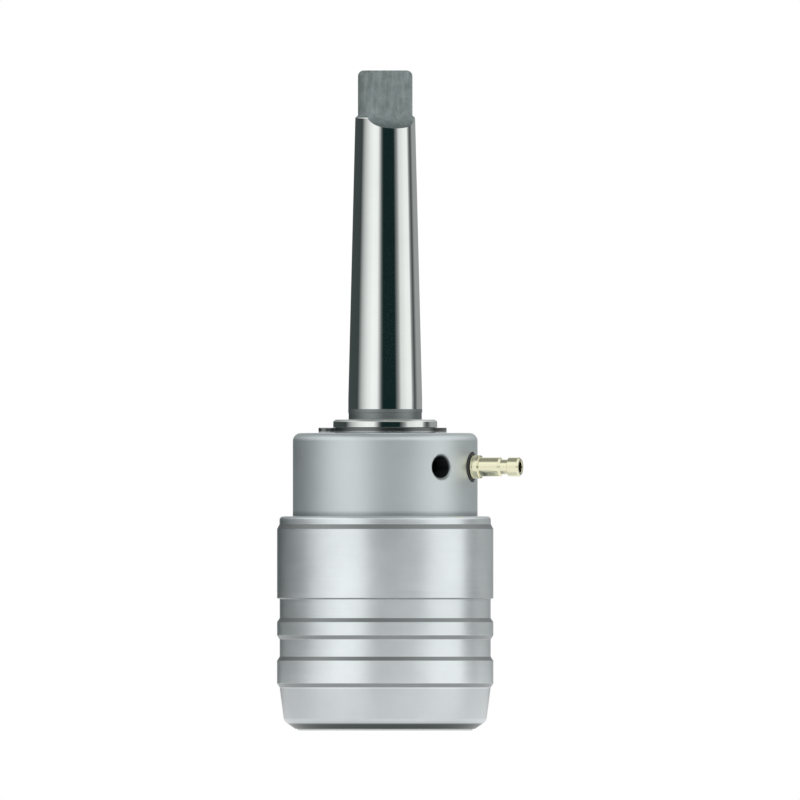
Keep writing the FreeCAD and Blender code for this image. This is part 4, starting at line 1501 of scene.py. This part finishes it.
class ARBOR_OT_coolant_ring(ArborOperator, bpy.types.Operator):
    """Turn the coolant ring and cut its two ports"""

    bl_idname = "arbor.coolant_ring"
    bl_label = "Coolant ring"

    def execute(self, context):
        outline = coolant_ring_outline()
        segments = turning().segments
        ring = turned_piece("coolant_ring_turned", outline, segments, exact_normals=False)
        carve(ring, ring_cutters())
        level_normals(ring)
        dress(ring, "coolant_ring", ["coolant_ring"], [blasted_aluminium()])
        return {"FINISHED"}


class ARBOR_OT_nipple(ArborOperator, bpy.types.Operator):
    """Turn the hose nipple and its washer"""

    bl_idname = "arbor.nipple"
    bl_label = "Hose nipple"

    def execute(self, context):
        laid = (turning().small_segments, NIPPLE_DIRECTION, PORT_HEIGHT)
        nipple = laid_piece("hose_nipple_turned", nipple_outline(), *laid)
        dress(nipple, "coolant_ring", ["hose_nipple"], [pale_brass()])
        start = SPOT_FACE_AT + SEAT_GAP
        end = SPOT_FACE_AT + NIPPLE_WASHER_THICKNESS
        washer_outline = tube_outline(THREAD_CORE_R + PRESS_GAP, NIPPLE_WASHER_R, start, end)
        washer = laid_piece("nipple_washer_turned", washer_outline, *laid)
        dress(washer, "coolant_ring", ["nipple_washer"], [dark_nylon()])
        return {"FINISHED"}


class ARBOR_OT_clips(ArborOperator, bpy.types.Operator):
    """Ease the stamped clips and split rings"""

    bl_idname = "arbor.clips"
    bl_label = "Clips"

    def execute(self, context):
        black = blackened_steel()
        for node in ("retaining_circlip", "plunger_circlip", "nose_snap_ring"):
            clip = eased_copy(f"{node}_eased", node, CLIP_EASING)
            dress(clip, "arbor", [node], [black])
        return {"FINISHED"}


class ARBOR_OT_plain_rings(ArborOperator, bpy.types.Operator):
    """Turn the washers, bushes and seals"""

    bl_idname = "arbor.plain_rings"
    bl_label = "Washers, bushes and seals"

    def execute(self, context):
        steel = washer_steel()
        oiled_bronze = bronze()
        rubber = nitrile_rubber()
        rings = (
            ("lower_thrust_washer", "arbor", "washer_bronze", oiled_bronze, 0.08),
            ("plunger_washer", "arbor", "washer_steel", steel, 0.08),
            ("sleeve_wiper", "arbor", "seal_rubber", rubber, 0.3),
            ("upper_thrust_washer", "coolant_ring", "washer_steel", steel, 0.08),
            ("lower_bush", "coolant_ring", "bush_bronze", oiled_bronze, 0.2),
            ("upper_bush", "coolant_ring", "bush_bronze", oiled_bronze, 0.2),
            ("lower_shaft_seal", "coolant_ring", "seal_rubber", rubber, 0.35),
            ("upper_shaft_seal", "coolant_ring", "seal_rubber", rubber, 0.35),
            ("plunger_seal", "pilot_plunger", "seal_rubber", rubber, 0.35),
        )
        for node, body, slot, material, easing in rings:
            outline = [(*point, easing) for point in tube_outline(*radii(node), *heights(node))]
            ring = turned_piece(f"{node}_turned", outline, turning().segments)
            dress(ring, body, [node], [material])
        return {"FINISHED"}


class ARBOR_OT_nose_ring(ArborOperator, bpy.types.Operator):
    """Turn the nose ring"""

    bl_idname = "arbor.nose_ring"
    bl_label = "Nose ring"

    def execute(self, context):
        ring = turned_piece("nose_ring_turned", nose_ring_outline(), turning().segments)
        dress(ring, "arbor", ["nose_ring"], [bore_steel()])
        return {"FINISHED"}


class ARBOR_OT_pins(ArborOperator, bpy.types.Operator):
    """Turn the locking pins and finish the dowels"""

    bl_idname = "arbor.pins"
    bl_label = "Pins and dowels"

    def execute(self, context):
        steel = hardened_steel()
        small = turning().small_segments
        for node, direction in PIN_DIRECTIONS.items():
            laid = (small, direction, PIN_HEIGHT)
            pin = laid_piece(f"{node}_turned", pin_outline(), *laid, closed=False)
            dress(pin, node, [node], [steel])
        dowels = eased_copy("guide_dowels_eased", "guide_dowels", DOWEL_EASING)
        dress(dowels, "arbor", ["guide_dowels"], [steel])
        return {"FINISHED"}


class ARBOR_OT_plunger(ArborOperator, bpy.types.Operator):
    """Turn the pilot plunger"""

    bl_idname = "arbor.plunger"
    bl_label = "Pilot plunger"

    def execute(self, context):
        segments = turning().small_segments
        plunger = turned_piece("pilot_plunger_turned", plunger_outline(), segments, closed=False)
        dress(plunger, "pilot_plunger", ["pilot_plunger"], [washer_steel()])
        return {"FINISHED"}


class ARBOR_OT_springs(ArborOperator, bpy.types.Operator):
    """Wind the two springs"""

    bl_idname = "arbor.springs"
    bl_label = "Springs"

    def execute(self, context):
        wire = spring_wire()
        coil_r = (BODY_R + SLEEVE_BORE_R) / 2
        coil = (coil_r, SLEEVE_SPRING_WIRE_R, SLEEVE_SPRING_BOTTOM, SLEEVE_SPRING_TOP)
        spring = wound_wire("sleeve_spring_wound", *coil, SLEEVE_SPRING_TURNS)
        dress(spring, "arbor", ["sleeve_spring"], [wire])
        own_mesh(spring)
        coil_r = CHAMBER_R - PLUNGER_SPRING_GAP - PLUNGER_SPRING_WIRE_R
        coil = (coil_r, PLUNGER_SPRING_WIRE_R, PLUNGER_SPRING_BOTTOM, PLUNGER_SPRING_TOP)
        spring = wound_wire("plunger_spring_wound", *coil, PLUNGER_SPRING_TURNS)
        dress(spring, "arbor", ["plunger_spring"], [wire])
        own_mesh(spring)
        return {"FINISHED"}


class ARBOR_OT_stage(ArborOperator, bpy.types.Operator):
    """Set up the floor, the soft lights and the camera"""

    bl_idname = "arbor.stage"
    bl_label = "Studio"

    def execute(self, context):
        context.scene.view_settings.view_transform = "Standard"
        add_floor()
        add_studio_light()
        add_overhead_lamp()
        add_camera()
        return {"FINISHED"}


# Stage


def add_floor():
    """A pale floor with a soft shadow, which shows white to the camera and in the metal."""
    half = studio().floor_half
    corners = [(-half, -half, 0.0), (half, -half, 0.0), (half, half, 0.0), (-half, half, 0.0)]
    floor = new_piece("floor", plain_mesh("floor", corners, [(0, 1, 2, 3)]))
    nodes = Nodes("pale_floor")
    nodes.feed("Base Color", (*FLOOR_COLOUR, 1.0))
    nodes.feed("Roughness", FLOOR_ROUGHNESS)
    glow = nodes.add("ShaderNodeEmission", {"Color": (*WHITE, 1.0), "Strength": 1.0})
    seen = nodes.math("MAXIMUM", *nodes.seen())
    distance = nodes.length(nodes.place())
    white = nodes.remap(distance, FLOOR_WHITE, 1.0, SHADOW_REACH, half)
    mix = nodes.add("ShaderNodeMixShader", {"Fac": nodes.math("MULTIPLY", seen, white)})
    nodes.join(nodes.shader.outputs[0], mix.inputs[1])
    nodes.join(glow.outputs[0], mix.inputs[2])
    nodes.join(mix.outputs[0], nodes.tree.nodes["Material Output"].inputs["Surface"])
    floor.data.materials.append(nodes.material)


class World(Nodes):
    """The studio round the arbor, as a world's node tree."""

    def __init__(self, name):
        self.world = bpy.data.worlds.new(name)
        self.world.use_nodes = True
        self.tree = self.world.node_tree
        self.shader = self.tree.nodes["Background"]

    def fade(self, value, start, end):
        """Falls smoothly from 1 to 0 between two values."""
        values = {"Value": value, "From Min": start, "From Max": end, "To Min": 1.0, "To Max": 0.0}
        node = self.add("ShaderNodeMapRange", values, interpolation_type="SMOOTHSTEP")
        return node.outputs["Result"]

    def wall(self, azimuth, brightness):
        """The brightness of a wall all round, from its (azimuth, brightness) pairs."""
        turned = self.remap(azimuth, 0.0, 1.0, -HALF_TURN, HALF_TURN)
        node = self.add("ShaderNodeValToRGB", {"Fac": turned})
        stops = node.color_ramp.elements
        stops.remove(stops[0])
        for number, (place, value) in enumerate(brightness):
            position = (place + HALF_TURN) / (2 * HALF_TURN)
            stop = stops[0] if number == 0 else stops.new(position)
            stop.position = position
            stop.color = (value, value, value, 1.0)
        return node.outputs["Color"]


def add_studio_light():
    """Tall soft lights left and right of the camera, in a dim room with a white backdrop."""
    world = World("studio")
    bpy.context.scene.world = world.world
    parts = world.parts(world.add("ShaderNodeTexCoord").outputs["Generated"])
    toward_camera = world.math("MULTIPLY", parts["Y"], -1.0)
    azimuth = world.math("DEGREES", world.math("ARCTAN2", parts["X"], toward_camera))
    elevation = world.math("DEGREES", world.math("ARCSINE", parts["Z"]))
    steepness = world.math("ABSOLUTE", elevation)
    level = world.wall(azimuth, LEVEL_LIGHT)
    raised = world.wall(azimuth, RAISED_LIGHT)
    wall = world.blend(world.fade(steepness, *LEVEL_BAND), raised, level)
    wall = world.math("MULTIPLY", wall, world.fade(steepness, *LIGHT_TOP))
    ceiling = world.math("SUBTRACT", 1.0, world.fade(elevation, *LIGHT_TOP))
    light = world.math("MULTIPLY_ADD", ceiling, studio().ceiling_light, wall)
    dim = (*studio().dim_colour, 1.0)
    bright = (*studio().light_colour, 1.0)
    room = world.blend(light, dim, bright, clamp_factor=False)
    to_camera, mirrored = world.seen()
    backdrop = world.fade(world.math("ABSOLUTE", azimuth), HALF_TURN, BACKDROP_EDGE)
    in_metal = world.math("MULTIPLY", mirrored, backdrop)
    shows_white = world.math("MAXIMUM", to_camera, in_metal)
    world.feed("Color", world.blend(shows_white, room, (*WHITE, 1.0)))


def add_overhead_lamp():
    """A broad lamp above, which only lights what isn't metal."""
    lamp = bpy.data.lights.new("overhead", "AREA")
    lamp.shape = "DISK"
    lamp.size = LAMP_SIZE
    lamp.energy = studio().fill_power
    holder = bpy.data.objects.new("overhead", lamp)
    holder.location = LAMP_PLACE
    holder.visible_glossy = False
    bpy.context.scene.collection.objects.link(holder)


def add_camera():
    """The photograph's view: level, square on and without perspective."""
    across = (PHOTO_WIDTH / 2 - PHOTO_AXIS_COLUMN) / PHOTO_PIXELS_PER_MM * MM
    height = (PHOTO_BENCH_ROW - PHOTO_WIDTH / 2) / PHOTO_PIXELS_PER_MM * MM
    camera = bpy.data.cameras.new("camera")
    camera.type = "ORTHO"
    camera.ortho_scale = PHOTO_WIDTH / PHOTO_PIXELS_PER_MM * MM
    camera.clip_start = CAMERA_CLIP_START
    holder = bpy.data.objects.new("camera", camera)
    holder.location = (across, -studio().camera_distance, height)
    holder.rotation_euler = (math.pi / 2, 0.0, 0.0)
    bpy.context.scene.collection.objects.link(holder)
    bpy.context.scene.camera = holder


class ARBOR_PT_panel(bpy.types.Panel):
    """The arbor's pieces, one button each"""

    bl_idname = "ARBOR_PT_panel"
    bl_label = "Cutter arbor"
    bl_space_type = "VIEW_3D"
    bl_region_type = "UI"
    bl_category = "Arbor"

    def draw(self, context):
        for group in SETTINGS:
            settings = getattr(context.scene, group)
            box = self.layout.box()
            for name in settings.bl_rna.properties.keys():
                if name not in ("name", "rna_type"):
                    box.prop(settings, name)
        for operator in OPERATORS:
            self.layout.operator(operator.bl_idname)


SETTINGS = {
    "arbor_turning": ArborTurning,
    "arbor_finish": ArborFinish,
    "arbor_studio": ArborStudio,
}
OPERATORS = (
    ARBOR_OT_body,
    ARBOR_OT_sleeve,
    ARBOR_OT_coolant_ring,
    ARBOR_OT_nipple,
    ARBOR_OT_clips,
    ARBOR_OT_plain_rings,
    ARBOR_OT_nose_ring,
    ARBOR_OT_pins,
    ARBOR_OT_plunger,
    ARBOR_OT_springs,
    ARBOR_OT_stage,
)


def register():
    for name, settings in SETTINGS.items():
        bpy.utils.register_class(settings)
        setattr(bpy.types.Scene, name, bpy.props.PointerProperty(type=settings))
    for operator in OPERATORS:
        bpy.utils.register_class(operator)
    bpy.utils.register_class(ARBOR_PT_panel)


def unregister():
    bpy.utils.unregister_class(ARBOR_PT_panel)
    for operator in reversed(OPERATORS):
        bpy.utils.unregister_class(operator)
    for name, settings in SETTINGS.items():
        delattr(bpy.types.Scene, name)
        bpy.utils.unregister_class(settings)


def main():
    register()
    bpy.ops.arbor.body()
    bpy.ops.arbor.sleeve()
    bpy.ops.arbor.coolant_ring()
    bpy.ops.arbor.nipple()
    bpy.ops.arbor.clips()
    bpy.ops.arbor.plain_rings()
    bpy.ops.arbor.nose_ring()
    bpy.ops.arbor.pins()
    bpy.ops.arbor.plunger()
    bpy.ops.arbor.springs()
    bpy.ops.arbor.stage()


if __name__ == "__main__":
    main()
